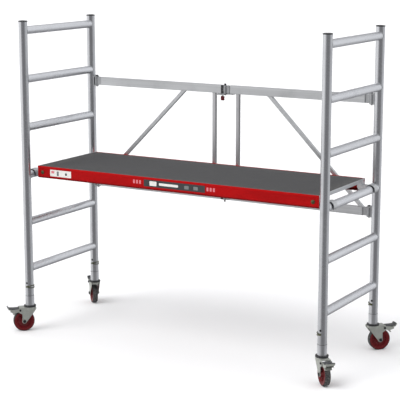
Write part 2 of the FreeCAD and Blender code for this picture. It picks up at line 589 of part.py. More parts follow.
def claw(side, depth):
    """Metal claw and its liner, at one corner of the deck."""
    liner_r = RUNG_R + CLAW_PLAY
    shell_r = liner_r + CLAW_LINER
    outer_r = shell_r + CLAW_SHELL
    y1 = depth * (DECK_WIDTH / 2 - CLAW_INSET)
    y0 = y1 - depth * CLAW_WIDTH
    y0, y1 = min(y0, y1), max(y0, y1)
    arm = box(DECK_LENGTH / 2 - HALF_SPAN, 0, y0, y1, -CLAW_INNER_LEG, CLAW_ARM_TOP)
    arm = arm.cut(rod_y(shell_r, 0, 0, y0, y1)).cut(box(-shell_r, shell_r, y0, y1, -outer_r, 0))
    shell = claw_profile(shell_r, outer_r, y0, y1).fuse(arm).removeSplitter()
    liner = rod_y(shell_r, 0, 0, y0, y1).fuse(box(-shell_r, shell_r, y0, y1, -CLAW_INNER_LEG, 0))
    liner = liner.cut(rod_y(liner_r, 0, 0, y0, y1)).cut(box(-liner_r, liner_r, y0, y1, -outer_r, 0))
    liner = liner.cut(box(-outer_r, outer_r, y0, y1, -outer_r, -CLAW_INNER_LEG)).removeSplitter()
    return [on_side(shape.translated(Vector(HALF_SPAN, 0, DECK_RUNG_Z)), side) for shape in (shell, liner)]


def build_deck():
    """All the nodes of the hook-on deck."""
    for name, depth in DEPTHS.items():
        save(side_rail(depth), name + "_side_rail")
    save(Part.makeCompound([end_beam(side) for side in SIDES.values()]), "deck_end_beams")
    step = DECK_LENGTH / (CROSS_MEMBER_COUNT + 1)
    bars = [cross_member(step * (i + 1) - DECK_LENGTH / 2) for i in range(CROSS_MEMBER_COUNT)]
    save(Part.makeCompound(bars), "cross_members")
    save(board(), "deck_board")
    corners = [(side, depth) for side in SIDES.values() for depth in DEPTHS.values()]
    save(Part.makeCompound([rail_bolt(*corner) for corner in corners]), "rail_bolts")
    claws = [claw(*corner) for corner in corners]
    save(Part.makeCompound([shell for shell, liner in claws]), "deck_claws")
    save(Part.makeCompound([liner for shell, liner in claws]), "claw_liners")


# ------------------------------------------------------------------------ castors
# Each castor is drawn with its stem on the Z axis and its wheel trailing along +X.
def turned_ring(points):
    """Ring turned about the wheel axis from an outline of (radius, y) points."""
    wire = Part.makePolygon([Vector(TRAIL, y, WHEEL_R + r) for r, y in points + points[:1]])
    return Part.Face(wire).revolve(Vector(TRAIL, 0, WHEEL_R), Vector(0, 1, 0), 360)


def tyre():
    """Solid tyre with sloped shoulders."""
    half = TYRE_WIDTH / 2
    shoulder = half - TYRE_CROWN
    mid = (HUB_R + WHEEL_R) / 2
    return turned_ring([
        (HUB_R, -half + 1), (mid, -half), (WHEEL_R - TYRE_CROWN, -half), (WHEEL_R - 1, -shoulder),
        (WHEEL_R, -shoulder / 2), (WHEEL_R, shoulder / 2), (WHEEL_R - 1, shoulder),
        (WHEEL_R - TYRE_CROWN, half), (mid, half), (HUB_R, half - 1),
    ])


def hub():
    """Moulded wheel centre: rim, dished web and bored boss."""
    bore = AXLE_R + RUNNING_PLAY
    rim, web, boss = HUB_RIM / 2, HUB_WEB / 2, BOSS_WIDTH / 2
    right = [
        (bore, boss), (BOSS_R, boss), (BOSS_R + 3, web),
        (HUB_RIM_R - 3, web), (HUB_RIM_R, rim), (HUB_R, rim),
    ]
    left = [(r, -y) for r, y in reversed(right)]
    return turned_ring(right + left)


def fork():
    """Swivelling fork: crown with the kingpin bore, bridge and two tapered legs."""
    inner, outer = FORK_INNER / 2, FORK_INNER / 2 + FORK_SHEET
    px, pz = PEDAL_PIVOT_X, PEDAL_PIVOT_Z
    bridge_end = px + 4
    body = rod(CROWN_R, 0, 0, CROWN_FOOT_Z, FORK_TOP_Z)
    body = body.fuse(box(0, bridge_end, -outer, outer, FORK_TOP_Z - FORK_SHEET, FORK_TOP_Z))
    leg = [
        (-CROWN_R, FORK_TOP_Z), (bridge_end, FORK_TOP_Z), (px + 10, pz + 7.7),
        (px + 8, pz - 13.3), (px - 13, pz - 27), (TRAIL + 13, WHEEL_R), (TRAIL, WHEEL_R - 13),
        (TRAIL - 12, WHEEL_R - 7), (-CROWN_R, FORK_TOP_Z - 12),
    ]
    for y in (-outer, inner):
        plate = plate_xz(leg, y, y + FORK_SHEET)
        plate = plate.fuse(rod_y(FORK_BOSS_R, TRAIL, WHEEL_R, y, y + FORK_SHEET))
        plate = plate.fuse(rod_y(FORK_EAR_R, px, pz, y, y + FORK_SHEET))
        body = body.fuse(plate)
    body = body.cut(rod(KINGPIN_R + RUNNING_PLAY, 0, 0, CROWN_FOOT_Z, FORK_TOP_Z))
    body = body.cut(rod_y(AXLE_R, TRAIL, WHEEL_R, -outer, outer))
    return body.cut(rod_y(PEDAL_PIVOT_R, px, pz, -outer, outer)).removeSplitter()


def fork_pins():
    """Axle bolt and pedal pivot, each with a head and a nut outside the fork."""
    outer = FORK_INNER / 2 + FORK_SHEET
    pins = []
    pivots = ((AXLE_R, TRAIL, WHEEL_R), (PEDAL_PIVOT_R, PEDAL_PIVOT_X, PEDAL_PIVOT_Z))
    for radius, x, z in pivots:
        pin = rod_y(radius, x, z, -outer, outer)
        for y in (-outer - BOLT_HEAD_OUT, outer):
            pin = pin.fuse(hexagon(x, z, radius * 1.7, y, y + BOLT_HEAD_OUT))
        pins.append(pin)
    return Part.makeCompound(pins)


def hexagon(x, z, radius, y0, y1):
    """Hexagonal bolt head or nut along Y."""
    turns = [math.radians(60 * i) for i in range(6)]
    corners = [(x + radius * math.cos(turn), z + radius * math.sin(turn)) for turn in turns]
    return plate_xz(corners, y0, y1)


def pedal():
    """Brake pedal: two cheeks, a top web, a treadle and the shoe above the tyre."""
    inner, outer = PEDAL_INNER / 2, PEDAL_INNER / 2 + PEDAL_SHEET
    px, pz = PEDAL_PIVOT_X, PEDAL_PIVOT_Z
    cheek = [
        (px - 7, pz + 2), (px - 2, pz + 7), (px + 20, pz + 7), (px + 58, pz + 2),
        (px + 58, pz - 9), (px + 34, pz - 17), (px + 6, pz - 12), (px - 7, pz - 6),
    ]
    body = plate_xz(cheek, -outer, -inner).fuse(plate_xz(cheek, inner, outer))
    web = [
        (px + 8, pz + 7), (px + 20, pz + 7), (px + 58, pz + 2),
        (px + 58, pz - 1), (px + 20, pz + 4), (px + 8, pz + 4),
    ]
    body = body.fuse(plate_xz(web, -inner, inner))
    treadle = [
        (px + 50, pz + 3), (px + 58, pz + 2), (px + 67, pz + 4), (PEDAL_TIP_X, pz + 17),
        (PEDAL_TIP_X - 5, pz + 18), (px + 64, pz + 8), (px + 50, pz + 7),
    ]
    half = PEDAL_WIDTH / 2
    body = body.fuse(plate_xz(treadle, -half, half))
    body = body.fuse(shoe(-inner, inner))
    return body.cut(rod_y(PEDAL_PIVOT_R + RUNNING_PLAY, px, pz, -outer, outer)).removeSplitter()


def shoe(y0, y1):
    """Brake shoe: an arc that sits just off the tyre when the pedal is down."""
    r0 = WHEEL_R + SHOE_GAP
    ring = rod_y(r0 + SHOE_THICK, TRAIL, WHEEL_R, y0, y1).cut(rod_y(r0, TRAIL, WHEEL_R, y0, y1))
    corners = [(TRAIL, WHEEL_R)]
    for degrees in (SHOE_TO, SHOE_FROM):
        turn = math.radians(degrees)
        corners.append((TRAIL + WHEEL_D * math.cos(turn), WHEEL_R + WHEEL_D * math.sin(turn)))
    braked = ring.common(plate_xz(corners, y0, y1))
    braked.rotate(Vector(PEDAL_PIVOT_X, 0, PEDAL_PIVOT_Z), Vector(0, 1, 0), -PEDAL_TRAVEL)
    return braked


def build_castors():
    """Fork, pins, hub, tyre and pedal of each castor, trailing outwards at 45 degrees."""
    drawn = {"fork": fork(), "fork_pins": fork_pins(), "hub": hub(), "tyre": tyre(), "pedal": pedal()}
    for side_name, side in SIDES.items():
        for depth_name, depth in DEPTHS.items():
            for part, shape in drawn.items():
                placed = shape.copy()
                angle = math.degrees(math.atan2(depth, side))
                placed.rotate(Vector(0, 0, 0), Vector(0, 0, 1), angle)
                placed.translate(Vector(side * HALF_SPAN, depth * HALF_DEPTH, 0))
                save(placed, side_name + "_" + depth_name + "_" + part)


for frame_name, frame_side in SIDES.items():
    build_frame(frame_name, frame_side)
build_leaves()
build_deck()
build_castors()
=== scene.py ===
"""Finish and fine detail of a folding frame scaffold section, in metres, +Z up.

Two ladder frames on castors carry a hook-on deck and a pair of hinged guard leaves.
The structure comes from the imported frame. This file dresses every part of it, and
adds what a maker adds by hand: ribbed rungs, weld beads, rolled edges, wheel centres,
seals, labels and covers.
"""

import json
import logging
import math
from dataclasses import dataclass, field
from enum import Enum
from typing import Iterable, Sequence

import bmesh
import bpy
from mathutils import Matrix, Vector

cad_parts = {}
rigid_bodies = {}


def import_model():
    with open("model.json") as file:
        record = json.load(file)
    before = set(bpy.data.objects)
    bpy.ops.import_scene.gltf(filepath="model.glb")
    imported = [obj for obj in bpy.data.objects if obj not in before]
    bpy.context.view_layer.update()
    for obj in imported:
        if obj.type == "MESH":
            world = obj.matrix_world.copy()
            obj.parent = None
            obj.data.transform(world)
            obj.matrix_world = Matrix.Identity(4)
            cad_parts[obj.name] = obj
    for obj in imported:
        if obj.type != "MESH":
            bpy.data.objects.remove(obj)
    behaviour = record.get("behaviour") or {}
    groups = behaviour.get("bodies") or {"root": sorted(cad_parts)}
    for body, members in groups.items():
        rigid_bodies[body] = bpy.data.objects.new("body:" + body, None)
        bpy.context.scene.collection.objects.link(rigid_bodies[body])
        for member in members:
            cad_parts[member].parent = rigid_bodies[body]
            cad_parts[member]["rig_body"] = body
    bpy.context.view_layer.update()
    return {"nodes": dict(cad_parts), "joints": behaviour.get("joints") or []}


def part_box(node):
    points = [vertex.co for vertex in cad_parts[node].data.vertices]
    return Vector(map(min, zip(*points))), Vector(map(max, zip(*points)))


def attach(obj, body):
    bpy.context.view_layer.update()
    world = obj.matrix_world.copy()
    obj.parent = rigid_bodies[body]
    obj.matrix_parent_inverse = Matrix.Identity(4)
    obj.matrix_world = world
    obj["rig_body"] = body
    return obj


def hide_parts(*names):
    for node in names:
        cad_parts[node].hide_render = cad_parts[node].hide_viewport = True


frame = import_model()

LOG = logging.getLogger("scaffold")

Colour = tuple[float, float, float]
Flat = tuple[float, float]
TURN = 2 * math.pi


# ------------------------------------------------------------------ named options
class Side(Enum):
    """The two ladder frames, with the sign of their place along X."""

    LEFT = -1
    RIGHT = 1

    @property
    def word(self) -> str:
        """The word that starts the node names of this side."""
        return self.name.lower()


class Depth(Enum):
    """Front and back of the section, with the sign of their place along Y."""

    FRONT = -1
    BACK = 1

    @property
    def word(self) -> str:
        """The word used in node names for this depth."""
        return self.name.lower()


class Run(Enum):
    """Direction in which a section was extruded, as the axis that its lines follow."""

    X = (0.012, 1.0, 1.0)
    Y = (1.0, 0.012, 1.0)
    Z = (1.0, 1.0, 0.012)


# ------------------------------------------------------------------- shader maths
class Sock:
    """An output of a shader node that takes part in Python expressions."""

    def __init__(self, graph: "Graph", socket: bpy.types.NodeSocket) -> None:
        """Wrap one output.

        Args:
            graph: The graph that new nodes are added to.
            socket: The output socket.
        """
        self.graph = graph
        self.socket = socket

    def __add__(self, other: "Sock | float") -> "Sock":
        """Sum of two values."""
        return self.graph.maths("ADD", self, other)

    def __radd__(self, other: "Sock | float") -> "Sock":
        """Sum, with the number first."""
        return self.graph.maths("ADD", other, self)

    def __sub__(self, other: "Sock | float") -> "Sock":
        """Difference of two values."""
        return self.graph.maths("SUBTRACT", self, other)

    def __rsub__(self, other: "Sock | float") -> "Sock":
        """Difference, with the number first."""
        return self.graph.maths("SUBTRACT", other, self)

    def __mul__(self, other: "Sock | float") -> "Sock":
        """Product of two values."""
        return self.graph.maths("MULTIPLY", self, other)

    def __rmul__(self, other: "Sock | float") -> "Sock":
        """Product, with the number first."""
        return self.graph.maths("MULTIPLY", other, self)

    def band(self, low: float, high: float) -> "Sock":
        """Smooth step of this value.

        Args:
            low: Value where the result is 0.
            high: Value where the result is 1. It may be below low.

        Returns:
            The step, from 0 to 1.
        """
        node = self.graph.node("ShaderNodeMapRange", {"interpolation_type": "SMOOTHSTEP"},
                               {"Value": self, "From Min": low, "From Max": high})
        return Sock(self.graph, node.outputs["Result"])


Value = Sock | float
Paint = Sock | Colour


class Graph:
    """The node graph of one material."""

    def __init__(self, tree: bpy.types.NodeTree) -> None:
        """Start from an empty tree.

        Args:
            tree: Node tree of a material or of the world.
        """
        self.tree = tree
        self.tree.nodes.clear()

    def node(self, kind: str, settings: dict | None = None, sockets: dict | None = None) -> bpy.types.Node:
        """Add a node: its settings first, then the values or links of its sockets.

        Args:
            kind: Node type.
            settings: Properties by name.
            sockets: Input values or Socks, by socket name or index.

        Returns:
            The node.
        """
        node = self.tree.nodes.new(kind)
        for name, value in (settings or {}).items():
            setattr(node, name, value)
        for key, value in (sockets or {}).items():
            if isinstance(value, Sock):
                self.tree.links.new(value.socket, node.inputs[key])
            elif isinstance(value, tuple) and node.inputs[key].type == "RGBA":
                node.inputs[key].default_value = (*value, 1.0)
            else:
                node.inputs[key].default_value = value
        return node

    def maths(self, operation: str, first: Value, second: Value) -> Sock:
        """One Math node.

        Args:
            operation: The operation's name.
            first: First value.
            second: Second value.

        Returns:
            The result.
        """
        node = self.node("ShaderNodeMath", {"operation": operation}, {0: first, 1: second})
        return Sock(self, node.outputs[0])

    def place(self, output: str = "Object") -> Sock:
        """Point on the piece, in its own frame, or its normal there."""
        return Sock(self, self.node("ShaderNodeTexCoord").outputs[output])

    def axes(self, vector: Sock) -> tuple[Sock, Sock, Sock]:
        """The three components of a vector."""
        parts = self.node("ShaderNodeSeparateXYZ", {}, {0: vector})
        return tuple(Sock(self, output) for output in parts.outputs)

    def scaled(self, vector: Sock, scale: Colour) -> Sock:
        """A vector times a constant vector."""
        node = self.node("ShaderNodeVectorMath", {"operation": "MULTIPLY"}, {0: vector, 1: scale})
        return Sock(self, node.outputs[0])

    def turned(self, vector: Sock, angle: float) -> Sock:
        """A vector turned about the Y axis by an angle in radians."""
        sockets = {"Vector": vector, "Angle": angle}
        node = self.node("ShaderNodeVectorRotate", {"rotation_type": "Y_AXIS"}, sockets)
        return Sock(self, node.outputs[0])

    def reach(self, vector: Sock) -> Sock:
        """Length of a vector."""
        node = self.node("ShaderNodeVectorMath", {"operation": "LENGTH"}, {0: vector})
        return Sock(self, node.outputs["Value"])

    def toward(self, vector: Sock, direction: Vector) -> Sock:
        """How far a unit vector points in a constant direction, from -1 to 1."""
        sockets = {0: vector, 1: tuple(direction)}
        node = self.node("ShaderNodeVectorMath", {"operation": "DOT_PRODUCT"}, sockets)
        return Sock(self, node.outputs["Value"])

    def noise(self, vector: Sock, scale: float, detail: float = 3.0, rough: float = 0.55) -> Sock:
        """Soft noise from 0 to 1.

        Args:
            vector: Where to read it.
            scale: Waves per metre.
            detail: Octaves.
            rough: Strength of the finer octaves.

        Returns:
            The noise.
        """
        sockets = {"Vector": vector, "Scale": scale, "Detail": detail, "Roughness": rough}
        return Sock(self, self.node("ShaderNodeTexNoise", {}, sockets).outputs[0])

    def cells(self, vector: Sock, scale: float) -> Sock:
        """Distance to the middle of the nearest random cell, with a scale in cells per metre."""
        node = self.node("ShaderNodeTexVoronoi", {"feature": "F1"}, {"Vector": vector, "Scale": scale})
        return Sock(self, node.outputs["Distance"])

    def mix(self, under: Paint, over: Paint, share: Value) -> Sock:
        """Two colours mixed: under where share is 0, over where it is 1."""
        node = self.node("ShaderNodeMix", {"data_type": "RGBA"}, {0: share, 6: under, 7: over})
        return Sock(self, node.outputs[2])

    def bump(self, height: Sock, distance: float) -> Sock:
        """Normal that follows a height map whose full step is a distance in metres."""
        sockets = {"Strength": 1.0, "Distance": distance, "Height": height}
        return Sock(self, self.node("ShaderNodeBump", {}, sockets).outputs[0])


# ----------------------------------------------------------------------- finishes
@dataclass(frozen=True)
class Surface:
    """What varies over a surface.

    Attributes:
        colour: Base colour.
        roughness: Roughness.
        height: Height map of the bump, 0 to 1.
        depth: Full step of the bump, in metres.
        metallic: Metallic share.
    """

    colour: Paint
    roughness: Value
    height: Sock
    depth: float
    metallic: Value | None = None


@dataclass(frozen=True)
class Finish:
    """A finish whose material is made once and shared.

    Attributes:
        name: Name of the material.
        colour: Main colour, linear.
        roughness: Middle roughness.
        metallic: Metallic share.
        coat: Weight of a clear coat.
        specular: Specular level.
    """

    name: str
    colour: Colour
    roughness: float
    metallic: float = 0.0
    coat: float = 0.0
    specular: float = 0.5

    def shade(self, share: float) -> Colour:
        """The main colour times a share, never past white."""
        return tuple(min(1.0, channel * share) for channel in self.colour)

    def paint(self, graph: Graph) -> Surface:
        """Nodes of this finish. Each finish gives its own."""
        raise NotImplementedError

    def material(self) -> bpy.types.Material:
        """The material, made on first use.

        Returns:
            The material.
        """
        found = bpy.data.materials.get(self.name)
        if found is not None:
            return found
        made = bpy.data.materials.new(self.name)
        made.use_nodes = True
        graph = Graph(made.node_tree)
        surface = self.paint(graph)
        metallic = self.metallic if surface.metallic is None else surface.metallic
        shader = graph.node("ShaderNodeBsdfPrincipled", {}, {
            "Base Color": surface.colour,
            "Roughness": surface.roughness,
            "Metallic": metallic,
            "Coat Weight": self.coat,
            "Coat Roughness": 0.2,
            "Specular IOR Level": self.specular,
            "Normal": graph.bump(surface.height, surface.depth),
        })
        graph.node("ShaderNodeOutputMaterial", {}, {"Surface": Sock(graph, shader.outputs[0])})
        return made


@dataclass(frozen=True)
class DrawnAluminium(Finish):
    """Mill-finish extrusion: fine draw lines along its run, faint stains and scuffs, with painted shade on faces that
    look along X where asked.

    Attributes:
        run: Direction of the draw lines.
        tilt: Turn of that direction about Y, in radians.
        fine: Draw lines per metre across the run.
        narrow: Share of the colour left on faces that look along X, as painted shade.
    """

    metallic: float = 1.0
    run: Run = Run.Z
    tilt: float = 0.0
    fine: float = 900.0
    narrow: float = 1.0

    def paint(self, graph: Graph) -> Surface:
        """Draw lines, broad streaks, clouded stains, short scuffs and painted shade on faces that look along X.

        Args:
            graph: Graph of the material.

        Returns:
            What varies over the surface.
        """
        place = graph.place()
        turned = graph.turned(place, self.tilt) if self.tilt else place
        drawn = graph.scaled(turned, self.run.value)
        lines = graph.noise(drawn, self.fine, 2.0, 0.7)
        streaks = graph.noise(drawn, 130.0, 3.0)
        clouds = graph.noise(place, 7.0, 5.0, 0.62)
        scuffs = graph.noise(graph.scaled(place, (1.0, 1.0, 2.6)), 160.0, 6.0, 0.75).band(0.60, 0.72)
        patches = graph.noise(place, 4.0, 2.0).band(0.48, 0.66)
        worn = scuffs * patches
        base = graph.mix(self.colour, self.shade(0.80), streaks.band(0.30, 0.78) * 0.55)
        stained = graph.mix(base, self.shade(0.72), clouds.band(0.50, 0.82) * 0.50)
        colour = graph.mix(stained, self.shade(1.14), worn * 0.5)
        # painted shade: faces that look along X are darkened as if they lay in shade
        if self.narrow < 1.0:
            sideways = graph.axes(graph.place("Normal"))[0]
            colour = graph.mix(colour, self.shade(self.narrow), (sideways * sideways).band(0.3, 0.8))
        rough = self.roughness + (streaks - 0.5) * 0.16 + (lines - 0.5) * 0.10 + worn * 0.10
        return Surface(colour, rough + clouds.band(0.45, 0.85) * 0.10, lines * 0.75 + worn * 0.25, 0.00010)


@dataclass(frozen=True)
class CastMetal(Finish):
    """Sand-cast aluminium: a grainy skin with dull hollows."""

    metallic: float = 0.9

    def paint(self, graph: Graph) -> Surface:
        """Coarse grain over a soft waviness.

        Args:
            graph: Graph of the material.

        Returns:
            What varies over the surface.
        """
        place = graph.place()
        grain = graph.noise(place, 1400.0, 4.0, 0.7)
        waves = graph.noise(place, 90.0, 3.0)
        soot = graph.noise(place, 35.0, 5.0, 0.65).band(0.48, 0.80)
        colour = graph.mix(self.colour, self.shade(0.62), soot * 0.6)
        polished = graph.mix(colour, self.shade(1.18), grain.band(0.60, 0.80) * 0.35)
        rough = self.roughness + (waves - 0.5) * 0.20 + soot * 0.12
        return Surface(polished, rough, grain * 0.6 + waves * 0.4, 0.00035)


@dataclass(frozen=True)
class ZincPlate(Finish):
    """Plated pressed steel: spangles, a passivation tint and wear to dark steel.

    Attributes:
        tint: Colour that the passivation film takes in patches.
        tinted: How much of that tint shows.
    """

    metallic: float = 0.85
    tint: Colour = (0.50, 0.54, 0.46)
    tinted: float = 0.45

    def paint(self, graph: Graph) -> Surface:
        """Spangles under a clouded tint, with darker specks.

        Args:
            graph: Graph of the material.

        Returns:
            What varies over the surface.
        """
        place = graph.place()
        spangle = graph.cells(place, 420.0)
        film = graph.noise(place, 55.0, 4.0, 0.6)
        specks = graph.noise(place, 900.0, 3.0, 0.8).band(0.66, 0.76)
        patchy_darkening = graph.noise(place, 26.0, 5.0, 0.7).band(0.52, 0.80)
        base = graph.mix(self.colour, self.shade(0.82), spangle.band(0.15, 0.75) * 0.7)
        filmed = graph.mix(base, self.tint, film.band(0.34, 0.70) * self.tinted)
        patch_darkened = graph.mix(filmed, self.shade(0.45), patchy_darkening * 0.35)
        colour = graph.mix(patch_darkened, (0.09, 0.08, 0.075), specks * 0.45)
        rough = self.roughness + (spangle - 0.4) * 0.14 + patchy_darkening * 0.16
        return Surface(colour, rough, film * 0.5 + spangle * 0.3 - specks * 0.2, 0.00022)


@dataclass(frozen=True)
class BlackOxide(Finish):
    """Blackened steel, rubbed brighter in places."""

    metallic: float = 0.7

    def paint(self, graph: Graph) -> Surface:
        """Fine grain with rubbed patches.

        Args:
            graph: Graph of the material.

        Returns:
            What varies over the surface.
        """
        place = graph.place()
        grain = graph.noise(place, 1100.0, 4.0, 0.7)
        rubbed = graph.noise(place, 70.0, 5.0, 0.7).band(0.55, 0.75)
        colour = graph.mix(self.colour, (0.30, 0.29, 0.28), rubbed * 0.4)
        return Surface(colour, self.roughness + (grain - 0.5) * 0.2 - rubbed * 0.12, grain, 0.00012)


@dataclass(frozen=True)
class MouldedPlastic(Finish):
    """Moulded plastic: a fine spark grain, flow marks and dust that settles in it.

    Attributes:
        dust: Colour of the dust.
        dusty: How much dust shows.
        grain: Grains per metre.
    """

    dust: Colour = (0.30, 0.29, 0.27)
    dusty: float = 0.12
    grain: float = 1500.0

    def paint(self, graph: Graph) -> Surface:
        """Grain, flow marks and dust.

        Args:
            graph: Graph of the material.

        Returns:
            What varies over the surface.
        """
        place = graph.place()
        grain = graph.noise(place, self.grain, 3.0, 0.75)
        flow = graph.noise(graph.scaled(place, (1.0, 1.0, 0.3)), 45.0, 3.0)
        settled = graph.noise(place, 60.0, 6.0, 0.72).band(0.50, 0.78)
        base = graph.mix(self.shade(0.85), self.shade(1.15), flow)
        colour = graph.mix(base, self.dust, settled * self.dusty)
        rough = self.roughness + (flow - 0.5) * 0.14 + settled * 0.10
        return Surface(colour, rough, grain * 0.7 + flow * 0.3, 0.00012)


@dataclass(frozen=True)
class Rubber(Finish):
    """Solid rubber tread, greyed where it meets the floor.

    Attributes:
        tread: Radius where the tread begins, from the wheel's own axis.
    """

    tread: float = 0.0590

    def paint(self, graph: Graph) -> Surface:
        """Matt rubber with a dusty tread and small nicks.

        Args:
            graph: Graph of the material.

        Returns:
            What varies over the surface.
        """
        place = graph.place()
        radius = graph.reach(graph.scaled(place, (1.0, 0.0, 1.0)))
        grain = graph.noise(place, 1300.0, 4.0, 0.75)
        dust = graph.noise(place, 120.0, 5.0, 0.7)
        nicks = graph.cells(place, 180.0).band(0.16, 0.06)
        worn = radius.band(self.tread, self.tread + 0.003)
        base = graph.mix(self.shade(0.8), self.shade(1.25), grain)
        colour = graph.mix(base, (0.19, 0.185, 0.175), worn * dust.band(0.30, 0.75) * 0.7)
        rough = self.roughness + worn * 0.08 + (dust - 0.5) * 0.10
        return Surface(colour, rough, grain * 0.6 - nicks * 0.4, 0.00030)


@dataclass(frozen=True)
class WheelRed(Finish):
    """Moulded wheel centre: satin red, darker and dusty near the boss.

    Attributes:
        rim: Radius of the rim, from the wheel's own axis.
    """

    rim: float = 0.049

    def paint(self, graph: Graph) -> Surface:
        """Swirl marks of the mould, road dust and scuffed rim.

        Args:
            graph: Graph of the material.

        Returns:
            What varies over the surface.
        """
        place = graph.place()
        radius = graph.reach(graph.scaled(place, (1.0, 0.0, 1.0)))
        grain = graph.noise(place, 1500.0, 3.0, 0.7)
        cloud = graph.noise(place, 60.0, 5.0, 0.65)
        swirl = graph.noise(graph.scaled(place, (0.4, 1.0, 0.4)), 260.0, 3.0)
        hollow = radius.band(self.rim * 0.80, self.rim * 0.45)
        scuff = radius.band(self.rim - 0.004, self.rim) * grain.band(0.52, 0.66)
        base = graph.mix(self.shade(0.78), self.shade(1.20), swirl)
        dusted = graph.mix(base, (0.10, 0.05, 0.045), hollow * cloud.band(0.35, 0.75) * 0.5)
        colour = graph.mix(dusted, (0.30, 0.10, 0.09), scuff * 0.35)
        rough = self.roughness + (cloud - 0.5) * 0.25 + hollow * 0.12
        return Surface(colour, rough, grain * 0.5 + swirl * 0.5, 0.00016)


@dataclass(frozen=True)
class PowderCoat(Finish):
    """Red powder coat: orange peel, rubbed edges and fine scratches along the rail, with a painted highlight under
    the upper edge and painted shade above the lower edge.

    Attributes:
        rim: Height of the upper edge.
        foot: Height of the lower edge.
    """

    rim: float = 0.995
    foot: float = 0.925

    def paint(self, graph: Graph) -> Surface:
        """Peel, fading, edge wear down to metal, scratches, patchy darkening towards the lower edge, a painted
        highlight under the upper edge and painted shade above the lower edge.

        Args:
            graph: Graph of the material.

        Returns:
            What varies over the surface.
        """
        place = graph.place()
        height = graph.axes(place)[2]
        peel = graph.noise(place, 620.0, 2.0, 0.5)
        fade = graph.noise(graph.scaled(place, (0.35, 1.0, 1.0)), 9.0, 4.0, 0.6)
        scratch = graph.noise(graph.scaled(place, (0.03, 1.0, 1.0)), 1100.0, 3.0, 0.8).band(0.64, 0.72)
        handled = graph.noise(place, 5.0, 3.0).band(0.46, 0.68)
        chips = graph.noise(place, 260.0, 5.0, 0.8)
        edge = height.band(self.rim - 0.0022, self.rim - 0.0002) + height.band(self.foot + 0.0022, self.foot)
        worn = edge * chips.band(0.60, 0.68)
        patches = graph.noise(place, 30.0, 5.0, 0.7).band(0.30, 0.80)
        # patches that grow darker towards the lower edge
        patchy_darkening = height.band(self.foot + 0.016, self.foot) * patches
        plain = graph.mix(self.shade(0.86), self.shade(1.10), fade.band(0.30, 0.72))
        # painted highlight: a lighter band just under the upper edge
        base = graph.mix(plain, self.shade(1.15), height.band(self.rim - 0.0135, self.rim - 0.0115) * 0.8)
        # painted shade: a darker band just above the lower edge
        foot_painted_shade = graph.mix(base, self.shade(0.40), height.band(self.foot + 0.012, self.foot + 0.005) * 0.8)
        patch_darkened = graph.mix(foot_painted_shade, self.shade(0.30), patchy_darkening * 0.70)
        scored = graph.mix(patch_darkened, (0.72, 0.22, 0.20), scratch * handled * 0.35)
        colour = graph.mix(scored, (0.22, 0.14, 0.14), worn * 0.6)
        rough = self.roughness + (fade - 0.5) * 0.16 + scratch * handled * 0.15
        return Surface(colour, rough, peel * 0.8 - scratch * 0.2, 0.00016, worn * 0.4)


@dataclass(frozen=True)
class DeckFilm(Finish):
    """Anti-slip film on plywood: small raised studs above, smooth brown film below.

    Attributes:
        studs: Angular rate of the stud pattern, per metre.
        half_length: Half of the board's length.
        half_width: Half of the board's width.
    """

    studs: float = TURN / 0.009
    half_length: float = 0.90
    half_width: float = 0.29

    def paint(self, graph: Graph) -> Surface:
        """Studs, trodden and scuffed patches, dust near the edges and the brown back.

        Args:
            graph: Graph of the material.

        Returns:
            What varies over the surface.
        """
        place = graph.place()
        x, y, _ = graph.axes(place)
        facing = graph.axes(graph.place("Normal"))[2]
        above = facing.band(-0.2, 0.2)
        waves = graph.maths("SINE", x * self.studs, 0.0) * graph.maths("SINE", y * self.studs, 0.0)
        stud = waves.band(0.25, 0.75)
        trodden = graph.noise(place, 3.2, 4.0, 0.6).band(0.40, 0.70)
        scuffs = graph.noise(graph.scaled(place, (0.25, 1.0, 1.0)), 190.0, 6.0, 0.78).band(0.62, 0.72)
        mottle = graph.noise(place, 38.0, 4.0, 0.6)
        far_x = graph.maths("ABSOLUTE", x, 0.0).band(self.half_length - 0.10, self.half_length)
        far_y = graph.maths("ABSOLUTE", y, 0.0).band(self.half_width - 0.05, self.half_width)
        dust = (far_x + far_y) * mottle.band(0.35, 0.75)
        top = graph.mix(self.shade(0.90), self.shade(1.12), mottle)
        rubbed = graph.mix(top, self.shade(1.35), stud * trodden * 0.45)
        scuffed = graph.mix(rubbed, (0.30, 0.30, 0.30), scuffs * trodden * 0.30)
        dusted = graph.mix(scuffed, (0.24, 0.23, 0.21), dust * 0.30)
        grain = graph.noise(graph.scaled(place, (0.04, 1.0, 1.0)), 240.0, 4.0, 0.7)
        below = graph.mix((0.060, 0.026, 0.014), (0.115, 0.052, 0.026), grain)
        rough = self.roughness - stud * trodden * 0.08 + (mottle - 0.5) * 0.14
        height = stud * above * 0.85 + scuffs * 0.05 + grain * 0.10
        return Surface(graph.mix(below, dusted, above), rough, height, 0.00045)


@dataclass(frozen=True)
class WeldMetal(Finish):
    """Weld bead: rippled bright aluminium with sooty edges."""

    metallic: float = 1.0

    def paint(self, graph: Graph) -> Surface:
        """Ripples, soot and a heat tint.

        Args:
            graph: Graph of the material.

        Returns:
            What varies over the surface.
        """
        place = graph.place()
        ripple = graph.noise(place, 700.0, 2.0)
        soot = graph.noise(place, 190.0, 5.0, 0.7).band(0.50, 0.72)
        tint = graph.noise(place, 60.0, 2.0)
        base = graph.mix(self.colour, self.shade(0.78), tint)
        colour = graph.mix(base, self.shade(0.35), soot * 0.6)
        return Surface(colour, self.roughness + soot * 0.25, ripple, 0.00030)


